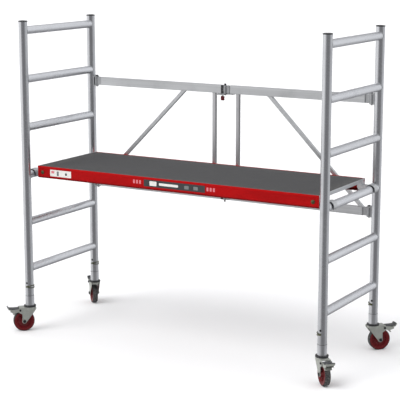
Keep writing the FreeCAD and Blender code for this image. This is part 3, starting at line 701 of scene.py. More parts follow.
@dataclass(frozen=True)
class LabelFilm(Finish):
    """Printed film label: one plain colour, slightly faded and rubbed."""

    coat: float = 0.3

    def paint(self, graph: Graph) -> Surface:
        """Fading, rub marks and trapped air.

        Args:
            graph: Graph of the material.

        Returns:
            What varies over the surface.
        """
        place = graph.place()
        fade = graph.noise(place, 40.0, 4.0)
        rub = graph.noise(graph.scaled(place, (0.1, 1.0, 1.0)), 700.0, 4.0, 0.8).band(0.62, 0.72)
        air = graph.cells(place, 130.0).band(0.12, 0.03)
        base = graph.mix(self.shade(0.88), self.shade(1.05), fade)
        colour = graph.mix(base, (0.30, 0.26, 0.25), rub * 0.25)
        return Surface(colour, self.roughness + rub * 0.2, air * 0.6 + fade * 0.4, 0.00010)


BRACE_TILT = math.atan2(0.585, 0.585)
UPRIGHT = DrawnAluminium("drawn_upright", (0.64, 0.65, 0.67), 0.27, run=Run.Z)
RUNG = DrawnAluminium("drawn_rung", (0.88, 0.89, 0.92), 0.24, run=Run.Y)
RAIL = DrawnAluminium("drawn_rail", (0.66, 0.67, 0.68), 0.40, run=Run.X)
# the posts get painted shade on their faces that look along X
POST = DrawnAluminium("drawn_post", (0.62, 0.62, 0.63), 0.40, run=Run.Z, narrow=0.46)
LEFT_BRACE = DrawnAluminium("drawn_left_brace", (0.66, 0.67, 0.68), 0.40, run=Run.Z, tilt=BRACE_TILT)
RIGHT_BRACE = DrawnAluminium("drawn_right_brace", (0.66, 0.67, 0.68), 0.40, run=Run.Z, tilt=-BRACE_TILT)
DECK_METAL = DrawnAluminium("drawn_deck_metal", (0.72, 0.73, 0.74), 0.38, run=Run.Y)
COLLAR = DrawnAluminium("turned_collar", (0.72, 0.73, 0.75), 0.34, run=Run.Z, fine=500.0)
CAST = CastMetal("tumbled_casting", (0.50, 0.51, 0.52), 0.48)
ZINC = ZincPlate("bright_zinc", (0.46, 0.47, 0.44), 0.38, metallic=0.55)
YELLOW_ZINC = ZincPlate("gold_passivated", (0.13, 0.13, 0.068), 0.34, metallic=0.8,
                        tint=(0.09, 0.11, 0.04), tinted=0.6)
OXIDE = BlackOxide("black_oxide", (0.045, 0.045, 0.048), 0.40)
BLACK = MouldedPlastic("black_polymer", (0.022, 0.022, 0.024), 0.45, dusty=0.06)
PEDAL_GREY = MouldedPlastic("pedal_plastic", (0.050, 0.052, 0.055), 0.50, dusty=0.18)
KNOB_RED = MouldedPlastic("knob_plastic", (0.10, 0.003, 0.006), 0.40, dusty=0.03, specular=0.3)
RED = PowderCoat("red_coat", (0.36, 0.0020, 0.0030), 0.42, specular=0.07)
FILM = DeckFilm("deck_film", (0.058, 0.058, 0.059), 0.52, specular=0.18)
TREAD = Rubber("tread_rubber", (0.015, 0.016, 0.019), 0.62, specular=0.25)
WHEEL = WheelRed("wheel_centre", (0.125, 0.004, 0.007), 0.42, specular=0.25)
WELD = WeldMetal("weld_bead", (0.74, 0.75, 0.76), 0.34)
WHITE_LABEL = LabelFilm("label_white", (0.74, 0.73, 0.70), 0.40)
BLACK_LABEL = LabelFilm("label_black", (0.018, 0.020, 0.022), 0.36)
GREY_LABEL = LabelFilm("label_grey", (0.16, 0.17, 0.17), 0.40)
PINK_LABEL = LabelFilm("label_pink", (0.66, 0.17, 0.20), 0.40)


# ---------------------------------------------------------------------- mesh work
@dataclass
class Skin:
    """Points and faces of a mesh that is being put together."""

    points: list[Vector] = field(default_factory=list)
    faces: list[tuple[int, ...]] = field(default_factory=list)

    def add(self, other: "Skin", matrix: Matrix | None = None) -> "Skin":
        """Take in another skin.

        Args:
            other: The other skin.
            matrix: Where it is moved to, if it is moved.

        Returns:
            This skin.
        """
        start = len(self.points)
        self.points += [matrix @ point if matrix else point for point in other.points]
        self.faces += [tuple(start + index for index in face) for face in other.faces]
        return self


def grid_skin(rows: Sequence[Sequence[Vector]], wrap_rows: bool, wrap_columns: bool) -> Skin:
    """Quads over a grid of points.

    Args:
        rows: Rows of points, all of one length.
        wrap_rows: True if the last row joins the first.
        wrap_columns: True if each row is a closed loop.

    Returns:
        The skin.
    """
    height, width = len(rows), len(rows[0])
    skin = Skin([point for row in rows for point in row])
    for i in range(height if wrap_rows else height - 1):
        for j in range(width if wrap_columns else width - 1):
            below, beside = (i + 1) % height, (j + 1) % width
            skin.faces.append((i * width + j, i * width + beside, below * width + beside, below * width + j))
    return skin


def lathe(profile: Sequence[Flat], segments: int = 64) -> Skin:
    """Closed profile of (radius, along) points turned about the Z axis.

    Args:
        profile: The outline, as a closed loop.
        segments: Steps round the axis.

    Returns:
        The skin.
    """
    rows = []
    for i in range(segments):
        turn = TURN * i / segments
        rows.append([Vector((r * math.cos(turn), r * math.sin(turn), z)) for r, z in profile])
    return grid_skin(rows, True, True)


def bead(path: Sequence[Vector], outward: Sequence[Vector], radius: float, ripples: int) -> Skin:
    """Weld bead along a closed path, as a stack of small ripples.

    Args:
        path: Points of the closed path.
        outward: A direction across the path at each point.
        radius: Middle radius of the bead.
        ripples: Number of ripples along the path.

    Returns:
        The skin.
    """
    around = 8
    count = len(path)
    rows = []
    for i, point in enumerate(path):
        along = (path[(i + 1) % count] - path[i - 1]).normalized()
        side = (outward[i] - along * outward[i].dot(along)).normalized()
        across = along.cross(side)
        size = radius * (1 + 0.14 * math.sin(TURN * ripples * i / count))
        rows.append([
            point + size * (side * math.cos(TURN * k / around) + across * math.sin(TURN * k / around))
            for k in range(around)
        ])
    return grid_skin(rows, True, True)


def rounded_corners(outline: Sequence[tuple[float, float, float]], steps: int = 3) -> list[Flat]:
    """Outline with an arc at each corner.

    Args:
        outline: Corners as (x, y, radius).
        steps: Steps in each arc.

    Returns:
        The points of the rounded outline.
    """
    points: list[Flat] = []
    count = len(outline)
    for i, (x, y, radius) in enumerate(outline):
        corner = Vector((x, y))
        if radius <= 0:
            points.append((x, y))
            continue
        before = (Vector(outline[i - 1][:2]) - corner).normalized()
        after = (Vector(outline[(i + 1) % count][:2]) - corner).normalized()
        half = before.angle(after) / 2
        start, end = corner + before * radius / math.tan(half), corner + after * radius / math.tan(half)
        middle = corner + (before + after).normalized() * radius / math.sin(half)
        sweep = (start - middle).angle_signed(end - middle)
        for k in range(steps + 1):
            arm = (start - middle).copy()
            arm.rotate(Matrix.Rotation(-sweep * k / steps, 2))
            points.append(tuple(middle + arm))
    return points


def prism(outline: Sequence[Flat], low: float, high: float) -> Skin:
    """Outline drawn out along Z, with closed ends.

    Args:
        outline: Its points, as (x, y).
        low: Lower end.
        high: Upper end.

    Returns:
        The skin.
    """
    count = len(outline)
    skin = grid_skin([[Vector((x, y, z)) for x, y in outline] for z in (low, high)], False, True)
    skin.faces.append(tuple(range(count)))
    skin.faces.append(tuple(range(2 * count - 1, count - 1, -1)))
    return skin


# A skin drawn with Z along its run is turned so that the run lies along Y or X.
UP_TO_ACROSS = Matrix(((1, 0, 0, 0), (0, 0, 1, 0), (0, 1, 0, 0), (0, 0, 0, 1)))
UP_TO_ALONG = Matrix(((0, 0, 1, 0), (1, 0, 0, 0), (0, 1, 0, 0), (0, 0, 0, 1)))
LAID_ACROSS = Matrix.Rotation(math.pi / 2, 4, "X")      # a turned piece, laid with its axis along Y

AXIS = 1e-5                     # radius of a turned piece on its own axis
SMOOTH = math.radians(38)       # edges sharper than this stay sharp in the shading
SHARP = math.radians(28)        # edges sharper than this are rolled
COPLANAR = math.radians(0.4)    # faces flatter than this are joined before rolling
WELDED = 2e-6                   # points nearer than this are one point


def weigh_normals(mesh: bpy.types.Mesh) -> None:
    """Give each face corner the normal of the large faces round it, so that flats look flat.

    Args:
        mesh: The mesh, already in its final shape.
    """
    round_vertex: list[list[int]] = [[] for _ in mesh.vertices]
    for face in mesh.polygons:
        for index in face.vertices:
            round_vertex[index].append(face.index)
    normals = [face.normal.copy() for face in mesh.polygons]
    areas = [face.area for face in mesh.polygons]
    limit = math.cos(SMOOTH)
    found: list[Vector] = []
    for face in mesh.polygons:
        own = normals[face.index]
        for index in face.vertices:
            total = Vector()
            for other in round_vertex[index]:
                if own.dot(normals[other]) > limit:
                    total += normals[other] * areas[other]
            found.append(total.normalized() if total.length > 0 else own)
    mesh.normals_split_custom_set(found)


def finish_mesh(work: bmesh.types.BMesh, name: str, roll: float, finish: Finish,
                flats: bool = False) -> bpy.types.Object:
    """Turn a working mesh into an object with rolled edges and smooth shading.

    Args:
        work: The working mesh, which is freed.
        name: Name of the piece.
        roll: Radius of the rolled edges, 0 for none.
        finish: Finish of the piece.
        flats: True if the piece has large flat faces. A piece with rolled edges always has.

    Returns:
        The object.
    """
    if roll > 0:
        sharp = [edge for edge in work.edges if edge.is_manifold and edge.calc_face_angle() > SHARP]
        bmesh.ops.bevel(work, geom=sharp, offset=roll, segments=2, profile=0.5, affect="EDGES",
                        clamp_overlap=True)
    bmesh.ops.recalc_face_normals(work, faces=work.faces)
    mesh = bpy.data.meshes.new(name)
    work.to_mesh(mesh)
    work.free()
    mesh.shade_smooth()
    mesh.set_sharp_from_angle(angle=SMOOTH)
    if roll > 0 or flats:
        weigh_normals(mesh)
    mesh.materials.append(finish.material())
    piece = bpy.data.objects.new(name, mesh)
    bpy.context.scene.collection.objects.link(piece)
    return piece


def fit_piece(piece: bpy.types.Object, body: str,
              stands_for: Iterable[str] = ()) -> bpy.types.Object:
    """Fasten a piece to a body and hide the nodes that it stands for.

    Args:
        piece: The piece, in place.
        body: Body that it rides on.
        stands_for: Nodes that it replaces.

    Returns:
        The piece.
    """
    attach(piece, body)
    nodes = list(stands_for)
    if nodes:
        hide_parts(*nodes)
    LOG.info("%s: %d faces on %s", piece.name, len(piece.data.polygons), body)
    return piece


def make_piece(name: str, skin: Skin, finish: Finish, body: str, *, roll: float = 0.0,
               flats: bool = False, matrix: Matrix | None = None,
               stands_for: Iterable[str] = ()) -> bpy.types.Object:
    """Build a new piece from a skin.

    Args:
        name: Name of the piece.
        skin: Its points and faces, in its own frame.
        finish: Its finish.
        body: Body that it rides on.
        roll: Radius of its rolled edges.
        flats: True if it has large flat faces.
        matrix: Place of its own frame.
        stands_for: Nodes that it replaces.

    Returns:
        The piece.
    """
    work = bmesh.new()
    corners = [work.verts.new(point) for point in skin.points]
    for face in skin.faces:
        work.faces.new([corners[index] for index in face])
    piece = finish_mesh(work, name, roll, finish, flats)
    if matrix is not None:
        piece.matrix_world = matrix
    return fit_piece(piece, body, stands_for)


def body_of_node(node: str) -> str:
    """The body that a node belongs to."""
    return frame["nodes"][node]["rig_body"]


def dress(node: str, finish: Finish) -> None:
    """Give a node of the frame its material.

    Args:
        node: The node.
        finish: Its finish.
    """
    slots = frame["nodes"][node].data.materials
    slots.clear()
    slots.append(finish.material())
    LOG.info("%s: dressed with %s", node, finish.name)


def roll_edges(node: str, finish: Finish, radius: float) -> bpy.types.Object:
    """A copy of a node with rolled edges, which stands for the node.

    Args:
        node: The node of the frame.
        finish: Finish of the copy.
        radius: Radius of the rolled edges.

    Returns:
        The copy.
    """
    work = bmesh.new()
    work.from_mesh(frame["nodes"][node].data)
    bmesh.ops.remove_doubles(work, verts=work.verts, dist=WELDED)
    bmesh.ops.dissolve_limit(work, angle_limit=COPLANAR, verts=work.verts, edges=work.edges)
    dress(node, finish)
    piece = finish_mesh(work, node + "_rolled", radius, finish)
    return fit_piece(piece, body_of_node(node), [node])


# ------------------------------------------------------------------ ladder frames
@dataclass
class LadderFrame:
    """One ladder frame: uprights, ribbed rungs, their welds, caps and brackets.

    Attributes:
        side: Which frame it is.
        half_depth: Upright centre from the middle plane.
        upright_radius: Outer radius of the uprights.
        rung_radius: Outer radius of the rungs.
        ribs: Ribs round a rung.
        rib_depth: Depth of the grooves between ribs.
        first_rung: Height of the lowest rung.
        rung_pitch: Height between rungs.
        rung_count: Number of rungs.
        bead_radius: Radius of a weld bead.
        tube_top: Top end of the upright tube.
        cap_height: Height of the end cap's head.
        cap_radius: Radius of the end cap's brim.
        pin_height: Height of the lock clips' pins.
        hole_height: Height of the spare pin holes.
        hole_radius: Radius of those holes.
        tube_foot: Lower end of the upright tube.
    """

    side: Side
    half_depth: float = 0.337
    upright_radius: float = 0.025
    rung_radius: float = 0.023
    ribs: int = 30
    rib_depth: float = 0.0004
    first_rung: float = 0.381
    rung_pitch: float = 0.280
    rung_count: int = 6
    bead_radius: float = 0.0022
    tube_top: float = 1.831
    cap_height: float = 0.008
    cap_radius: float = 0.0265
    pin_height: float = 0.271
    hole_height: float = 0.293
    hole_radius: float = 0.005
    tube_foot: float = 0.214

    @property
    def body(self) -> str:
        """Body of this frame."""
        return self.side.word + "_frame"

    @property
    def x(self) -> float:
        """Place of the frame's plane along X, read from its tubes."""
        low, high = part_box(self.side.word + "_front_upright")
        return (low.x + high.x) / 2

    def build(self) -> None:
        """Build and dress every piece of the frame."""
        word = self.side.word
        for depth in Depth:
            dress(f"{word}_{depth.word}_upright", UPRIGHT)
        dress(f"{word}_rungs", RUNG)
        dress(f"{word}_end_caps", BLACK)
        dress(f"{word}_hinge_pins", OXIDE)
        dress(f"{word}_lock_clips", YELLOW_ZINC)
        self.build_clips()
        roll_edges(f"{word}_hinge_brackets", CAST, 0.0008)
        roll_edges(f"{word}_castor_stems", COLLAR, 0.0008)
        self.build_rungs()
        self.build_welds()
        self.build_caps()
        self.build_seams()
        self.build_hole_liners()

    def upright_place(self, depth: Depth, height: float = 0.0) -> Matrix:
        """Place on the axis of an upright, at a height."""
        return Matrix.Translation((self.x, depth.value * self.half_depth, height))

    def cope(self, across: float) -> float:
        """Distance from the middle plane to the upright's surface, at a place across it."""
        return self.half_depth - math.sqrt(self.upright_radius ** 2 - across ** 2)

    def rung(self, height: float) -> Skin:
        """One ribbed rung, coped to both uprights.

        Args:
            height: Height of its centre.

        Returns:
            The skin.
        """
        steps = self.ribs * 6
        ends: list[list[Vector]] = [[], []]
        for i in range(steps):
            turn = TURN * i / steps
            groove = max(0.0, math.cos(turn * self.ribs)) ** 2
            radius = self.rung_radius - self.rib_depth * groove
            across, up = radius * math.sin(turn), radius * math.cos(turn)
            for end, sign in zip(ends, (-1, 1)):
                end.append(Vector((self.x + across, sign * self.cope(across), height + up)))
        return grid_skin(ends, False, True)

    def build_rungs(self) -> None:
        """All rungs of the frame, in place of the plain ones."""
        skin = Skin()
        for i in range(self.rung_count):
            skin.add(self.rung(self.first_rung + self.rung_pitch * i))
        word = self.side.word
        make_piece(f"{word}_ribbed_rungs", skin, RUNG, self.body, stands_for=[f"{word}_rungs"])

    def build_welds(self) -> None:
        """A weld bead round each end of each rung."""
        steps, ripples = 96, 26
        skin = Skin()
        for i in range(self.rung_count):
            height = self.first_rung + self.rung_pitch * i
            for depth in Depth:
                path, outward = [], []
                for k in range(steps):
                    turn = TURN * k / steps
                    across, up = self.rung_radius * math.sin(turn), self.rung_radius * math.cos(turn)
                    path.append(Vector((self.x + across, depth.value * self.cope(across), height + up)))
                    outward.append(Vector((math.sin(turn), 0, math.cos(turn))))
                skin.add(bead(path, outward, self.bead_radius, ripples))
        make_piece(self.side.word + "_rung_welds", skin, WELD, self.body)

    def build_caps(self) -> None:
        """Domed end caps with a brim, in place of the plain ones."""
        top, brim, height = self.tube_top, self.cap_radius, self.cap_height
        dome = [(brim * math.sin(t * math.pi / 16), top + height * 0.55 + height * 0.45 * math.cos(t * math.pi / 16))
                for t in range(9)]
        rim = [(brim, top + 0.0008), (brim - 0.0008, top)]
        profile = [(AXIS, top + 0.0005), (AXIS, dome[0][1])] + dome[1:] + rim
        skin = Skin()
        for depth in Depth:
            skin.add(lathe(profile, 48), self.upright_place(depth))
        word = self.side.word
        make_piece(f"{word}_domed_caps", skin, BLACK, self.body,
                   stands_for=[f"{word}_end_caps"])

    def build_seams(self) -> None:
        """A thin dark washer between each upright tube and the collar of its castor, a real washer that also paints
        the shadow in that joint.
        """
        low, high = self.tube_foot - 0.0002, self.tube_foot + 0.0016
        inner, outer = self.upright_radius - 0.001, self.upright_radius + 0.0007
        ring = lathe([(inner, low), (outer, low), (outer, high), (inner, high)], 48)
        skin = Skin()
        for depth in Depth:
            skin.add(ring, self.upright_place(depth))
        # partly painted shade: the dark washer also stands for the shadow in the gap
        make_piece(self.side.word + "_foot_washers", skin, BLACK, self.body)

    def build_clips(self) -> None:
        """Lock clips: a pin through each upright and a wire sprung round its inner side."""
        steps, wire = 24, 0.0022
        loop = self.upright_radius + 0.0032
        under, over, head = loop - 0.0013, loop + 0.0030, 0.0052
        pin = [(0.0, -over), (head - 0.0012, -over), (head, -over + 0.0012), (head, -under), (0.0035, -under)]
        skin = Skin()
        for depth in Depth:
            place = self.upright_place(depth, self.pin_height)
            path, outward = [], []
            for k in range(2 * steps):
                turn = math.pi * (k if k < steps else 2 * steps - k) / steps
                lift = (0.0010 + 0.0062 * math.sin(turn)) * (1 if k < steps else -1)
                radial = Vector((-self.side.value * math.sin(turn), -math.cos(turn), 0))
                outward.append(radial)
                path.append(place.translation + radial * loop + Vector((0, 0, lift)))
            skin.add(bead(path, outward, wire, 0))
            turned = lathe(pin + [(radius, -along) for radius, along in reversed(pin)], 28)
            skin.add(turned, place @ LAID_ACROSS)
        word = self.side.word
        make_piece(f"{word}_sprung_clips", skin, YELLOW_ZINC, self.body,
                   stands_for=[f"{word}_lock_clips"])

    def build_hole_liners(self) -> None:
        """A thin dark liner with a small flange in each free pin hole, as painted shade: a dark sheet where the
        inside of the hole lies in shade.
        """
        outer, radius = self.upright_radius, self.hole_radius
        inside, snug, flange = radius - 0.00025, radius - 0.00002, radius + 0.0011
        deep, under = outer - 0.014, outer - 0.0004
        profile = [(inside, deep), (snug, deep), (snug, under), (flange, under), (flange, outer + 0.0002),
                   (inside, outer + 0.0005)]
        liner = lathe(profile, 32)
        skin = Skin()
        for depth in Depth:
            for face in (-1, 1):
                turn = Matrix.Rotation(-face * math.pi / 2, 4, "X")
                skin.add(liner, self.upright_place(depth, self.hole_height) @ turn)
        # painted shade: the dark liners make the free pin holes read dark
        make_piece(self.side.word + "_hole_liners", skin, BLACK, self.body)


# ------------------------------------------------------------------- guard leaves
@dataclass
class GuardLeaf:
    """One guard leaf: two rails, a post, a brace, its fittings and welds.

    Attributes:
        side: Which leaf it is.
        edge: Radius of the corners of its tubes.
        barrel: Radius of the middle hinge's barrels.
        bar: Width of the post and the brace.
        plane: Place of the leaf along Y.
        bead_radius: Radius of a weld bead.
    """

    side: Side
    edge: float = 0.0016
    barrel: float = 0.009
    bar: float = 0.020
    plane: float = 0.337
    bead_radius: float = 0.0012

    @property
    def body(self) -> str:
        """Body of this leaf."""
        return self.side.word + "_leaf"

    def build(self) -> None:
        """Build and dress every piece of the leaf."""
        word = self.side.word
        brace = LEFT_BRACE if self.side is Side.LEFT else RIGHT_BRACE
        for part, finish in (("top_rail", RAIL), ("lower_rail", RAIL), ("leaf_post", POST),
                             ("leaf_brace", brace)):
            roll_edges(f"{word}_{part}", finish, self.edge)
        roll_edges(f"{word}_rail_knuckles", CAST, 0.0006)
        plated = BLACK if self.side is Side.LEFT else CAST
        fitting = roll_edges(f"{word}_centre_hinge", plated, 0.0006)
        if plated is BLACK:
            self.lighten_barrels(fitting)
        self.build_welds()

    def lighten_barrels(self, fitting: bpy.types.Object) -> None:
        """Bare metal on the barrels of the middle fitting, beside its dark end plate.

        Args:
            fitting: The fitting.
        """
        fitting.data.materials.append(CAST.material())
        for face in fitting.data.polygons:
            face.material_index = int(abs(face.center.x) < self.barrel)

    def weld_loop(self, middle: float, half: float, height: float) -> Skin:
        """Weld bead round the foot or the head of a bar.

        Args:
            middle: Place of the bar's middle along X.
            half: Half of the bar's width along X, as cut.
            height: Height of the rail's face.

        Returns:
            The skin.
        """
        corners = [(-half, -self.bar / 2, 0.002), (half, -self.bar / 2, 0.002),
                   (half, self.bar / 2, 0.002), (-half, self.bar / 2, 0.002)]
        sparse = rounded_corners(corners, 4)
        path, outward = [], []
        for i, (x, y) in enumerate(sparse):
            next_x, next_y = sparse[(i + 1) % len(sparse)]
            for k in range(3):
                share = k / 3
                place = Vector((x + (next_x - x) * share, y + (next_y - y) * share, 0))
                path.append(place + Vector((middle, self.plane, height)))
                outward.append(place.normalized())
        return bead(path, outward, self.bead_radius, 20)

    def build_welds(self) -> None:
        """Welds at both ends of the post and of the brace."""
        word = self.side.word
        skin = Skin()
        post_low, post_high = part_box(f"{word}_leaf_post")
        brace_low, brace_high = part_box(f"{word}_leaf_brace")
        post_middle = (post_low.x + post_high.x) / 2
        slope = math.hypot(1.0, (brace_high.x - brace_low.x) / (brace_high.z - brace_low.z))
        half = self.bar / 2 * slope
        near, far = sorted((brace_low.x, brace_high.x), key=abs)
        inward = -self.side.value * half
        for middle, width, height in (
            (post_middle, self.bar / 2, post_low.z), (post_middle, self.bar / 2, post_high.z),
            (far + inward, half, brace_low.z), (near - inward, half, brace_high.z),
        ):
            skin.add(self.weld_loop(middle, width, height))
        make_piece(f"{word}_leaf_welds", skin, WELD, self.body)


@dataclass
class LeafLatch:
    """Pins, latch and pull handle at the middle of the top rail.

    Attributes:
        steps: Sections of the handle.
        around: Points round the handle.
        drop: How far the moulded grip reaches below the plain one.
    """

    steps: int = 18
    around: int = 28
    drop: float = 0.004

    def build(self) -> None:
        """Build and dress the latch."""
        dress("centre_hinge_pins", OXIDE)
        dress("latch_plunger", ZINC)
        roll_edges("latch_housing", CAST, 0.0006)
        self.build_handle()

    def build_handle(self) -> None:
        """A waisted pull handle, in place of the plain one."""
        low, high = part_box("latch_knob")
        middle = (low + high) / 2
        low.z -= self.drop
        half_x, half_y, height = (high.x - low.x) / 2, (high.y - low.y) / 2, high.z - low.z
        rows = []
        for i in range(self.steps + 1):
            share = i / self.steps
            ends = math.sqrt(max(0.0, 1 - (2 * share - 1) ** 12))
            waist = 1 - 0.10 * math.sin(math.pi * min(1.0, share * 1.25)) ** 2 - 0.12 * max(0.0, share - 0.7) / 0.3
            wide, deep = half_x * waist * max(ends, 0.05), half_y * (1 - 0.12 * share) * max(ends, 0.05)
            row = []
            for k in range(self.around):
                turn = TURN * k / self.around
                x = math.copysign(abs(math.cos(turn)) ** 0.7, math.cos(turn)) * wide
                y = math.copysign(abs(math.sin(turn)) ** 0.7, math.sin(turn)) * deep
                row.append(Vector((x, y, low.z + height * share)) + Vector((middle.x, middle.y, 0)))
            rows.append(row)
        skin = grid_skin(rows, False, True)
        skin.faces.append(tuple(range(self.around)))
        last = self.steps * self.around
        skin.faces.append(tuple(range(last + self.around - 1, last - 1, -1)))
        make_piece("latch_handle", skin, KNOB_RED, "latch", stands_for=["latch_knob"])


# --------------------------------------------------------------------------- deck
@dataclass
class Deck:
    """The hook-on deck: profiled side rails, board, end beams, claws and labels.

    Attributes:
        web_inner: Inner face of the rail's web, from the middle plane.
        ledge: Width of the rail's ledges.
        ledge_thick: Thickness of the ledges.
        chamfer: Height of the sloped foot of the rail.
        recess: Depth of the shallow panel in the rail's face.
        panel_low: Lower edge of the panel above the foot.
        panel_high: Upper edge of the panel below the rim.
        label_thick: Thickness of the labels.
        bolt_radius: Radius of the plain bolt heads.
        bolt_face: Face of the rail under the bolt heads, from the middle plane.
    """

    web_inner: float = 0.293
    ledge: float = 0.022
    ledge_thick: float = 0.003
    chamfer: float = 0.009
    recess: float = 0.0012
    panel_low: float = 0.013
    panel_high: float = 0.012
    label_thick: float = 0.0003
    bolt_radius: float = 0.009
    bolt_face: float = 0.297

    def build(self) -> None:
        """Build and dress every piece of the deck."""
        for depth in Depth:
            self.build_rail(depth)
        roll_edges("deck_end_beams", DECK_METAL, 0.0008)
        roll_edges("cross_members", RAIL, 0.0012)
        roll_edges("deck_claws", DECK_METAL, 0.0012)
        dress("claw_liners", BLACK)
        dress("deck_board", FILM)
        self.build_bolts()
        self.build_labels()

    def build_rail(self, depth: Depth) -> None:
        """One side rail, with a recessed panel, rounded rims and a sloped foot.

        Args:
            depth: Front or back rail.
        """
        node = depth.word + "_side_rail"
        low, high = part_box(node)
        outer = max(abs(low.y), abs(high.y))
        foot, rim = low.z, high.z
        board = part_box("deck_board")[0].z
        inner = self.web_inner - self.ledge
        panel_foot, panel_rim = foot + self.panel_low, rim - self.panel_high
        face, thick = outer - self.recess, self.ledge_thick
        outline = rounded_corners([
            (inner, foot, 0.0006), (outer - self.chamfer * 0.6, foot, 0.0010),
            (outer, foot + self.chamfer, 0.0015),
            (outer, panel_foot - 0.001, 0.0005), (face, panel_foot, 0.0005), (face, panel_rim, 0.0005),
            (outer, panel_rim + 0.001, 0.0005), (outer, rim, 0.0014), (self.web_inner, rim, 0.0008),
            (self.web_inner, board, 0.0), (inner, board, 0.0006), (inner, board - thick, 0.0006),
            (self.web_inner, board - thick, 0.0008), (self.web_inner, foot + thick, 0.0008),
            (inner, foot + thick, 0.0006),
        ])
        placed = [(y * depth.value, z) for y, z in outline]
        skin = Skin().add(prism(placed, low.x, high.x), UP_TO_ALONG)
        make_piece(depth.word + "_profiled_rail", skin, RED, "deck", flats=True,
                   stands_for=[node])
        dress(node, RED)

    def build_bolts(self) -> None:
        """Button-head bolts with a hexagonal socket, on a washer."""
        low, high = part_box("rail_bolts")
        head_radius, head_high, socket = 0.0085, 0.0045, 0.0032
        steps, washer, seat = 36, 0.0110, 0.0024
        floor = head_high - 0.0024
        profile = [(washer, 0.0), (washer, 0.0012), (head_radius, 0.0016), (head_radius, seat)]
        dome = [(head_radius * math.cos(t * math.pi / 14), seat + (head_high - seat) * math.sin(t * math.pi / 14))
                for t in range(1, 6)]
        rows = []
        for i in range(steps):
            turn = TURN * i / steps
            sector = (turn % (TURN / 6)) - TURN / 12
            rim = socket / math.cos(sector)
            radii = profile + dome + [(rim, head_high), (rim, floor), (AXIS, floor)]
            rows.append([Vector((r * math.cos(turn), r * math.sin(turn), z)) for r, z in radii])
        head = grid_skin(rows, True, False)
        skin = Skin()
        height = (low.z + high.z) / 2
        reach = max(abs(low.x), abs(high.x)) - self.bolt_radius
        for depth in Depth:
            turn = Matrix.Rotation(-depth.value * math.pi / 2, 4, "X")
            for side in Side:
                place = Matrix.Translation((side.value * reach, depth.value * self.bolt_face, height))
                skin.add(head, place @ turn)
        make_piece("socket_head_bolts", skin, YELLOW_ZINC, "deck", stands_for=["rail_bolts"])
        dress("rail_bolts", YELLOW_ZINC)

    def label(self, name: str, left: float, right: float, low: float, high: float, finish: Finish,
              layer: int) -> None:
        """One plain label on the front rail.

        Args:
            name: Name of the piece.
            left: Left edge along X.
            right: Right edge along X.
            low: Lower edge.
            high: Upper edge.
            finish: Its finish.
            layer: 0 on the rail, 1 on another label.
        """
        face = -(max(abs(c.y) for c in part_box("front_side_rail")) - self.recess)
        near = face + 0.0001 - layer * self.label_thick
        corner = min(0.003, (high - low) * 0.2)
        outline = rounded_corners([(left, low, corner), (right, low, corner), (right, high, corner),
                                   (left, high, corner)], 4)
        skin = Skin().add(prism(outline, near - self.label_thick, near), UP_TO_ACROSS)
        make_piece(name, skin, finish, "deck")

    def build_labels(self) -> None:
        """Plain labels: a load plate, a dark band with blank bars, and two pairs of dashes."""
        for name, left, right, low, high, finish, layer in (
            ("load_plate", -0.819, -0.670, 0.9405, 0.979, WHITE_LABEL, 0),
            ("load_plate_mark", -0.811, -0.789, 0.958, 0.972, PINK_LABEL, 1),
            ("load_plate_block", -0.771, -0.757, 0.946, 0.972, GREY_LABEL, 1),
            ("load_plate_square", -0.712, -0.700, 0.952, 0.966, BLACK_LABEL, 1),
            ("name_band", -0.172, 0.223, 0.9425, 0.9815, BLACK_LABEL, 0),
            ("band_block", -0.134, -0.088, 0.949, 0.975, WHITE_LABEL, 1),
            ("band_bar", -0.072, 0.052, 0.955, 0.969, WHITE_LABEL, 1),
            ("band_grey_left", 0.092, 0.120, 0.951, 0.970, GREY_LABEL, 1),
            ("band_grey_right", 0.150, 0.178, 0.951, 0.970, GREY_LABEL, 1),
        ):
            self.label(name, left, right, low, high, finish, layer)
        for name, start in (("left", -0.243), ("right", 0.233)):
            for i in range(3):
                left = start + 0.020 * i
                self.label(f"{name}_dash_{i + 1}", left, left + 0.012, 0.953, 0.974, PINK_LABEL, 0)


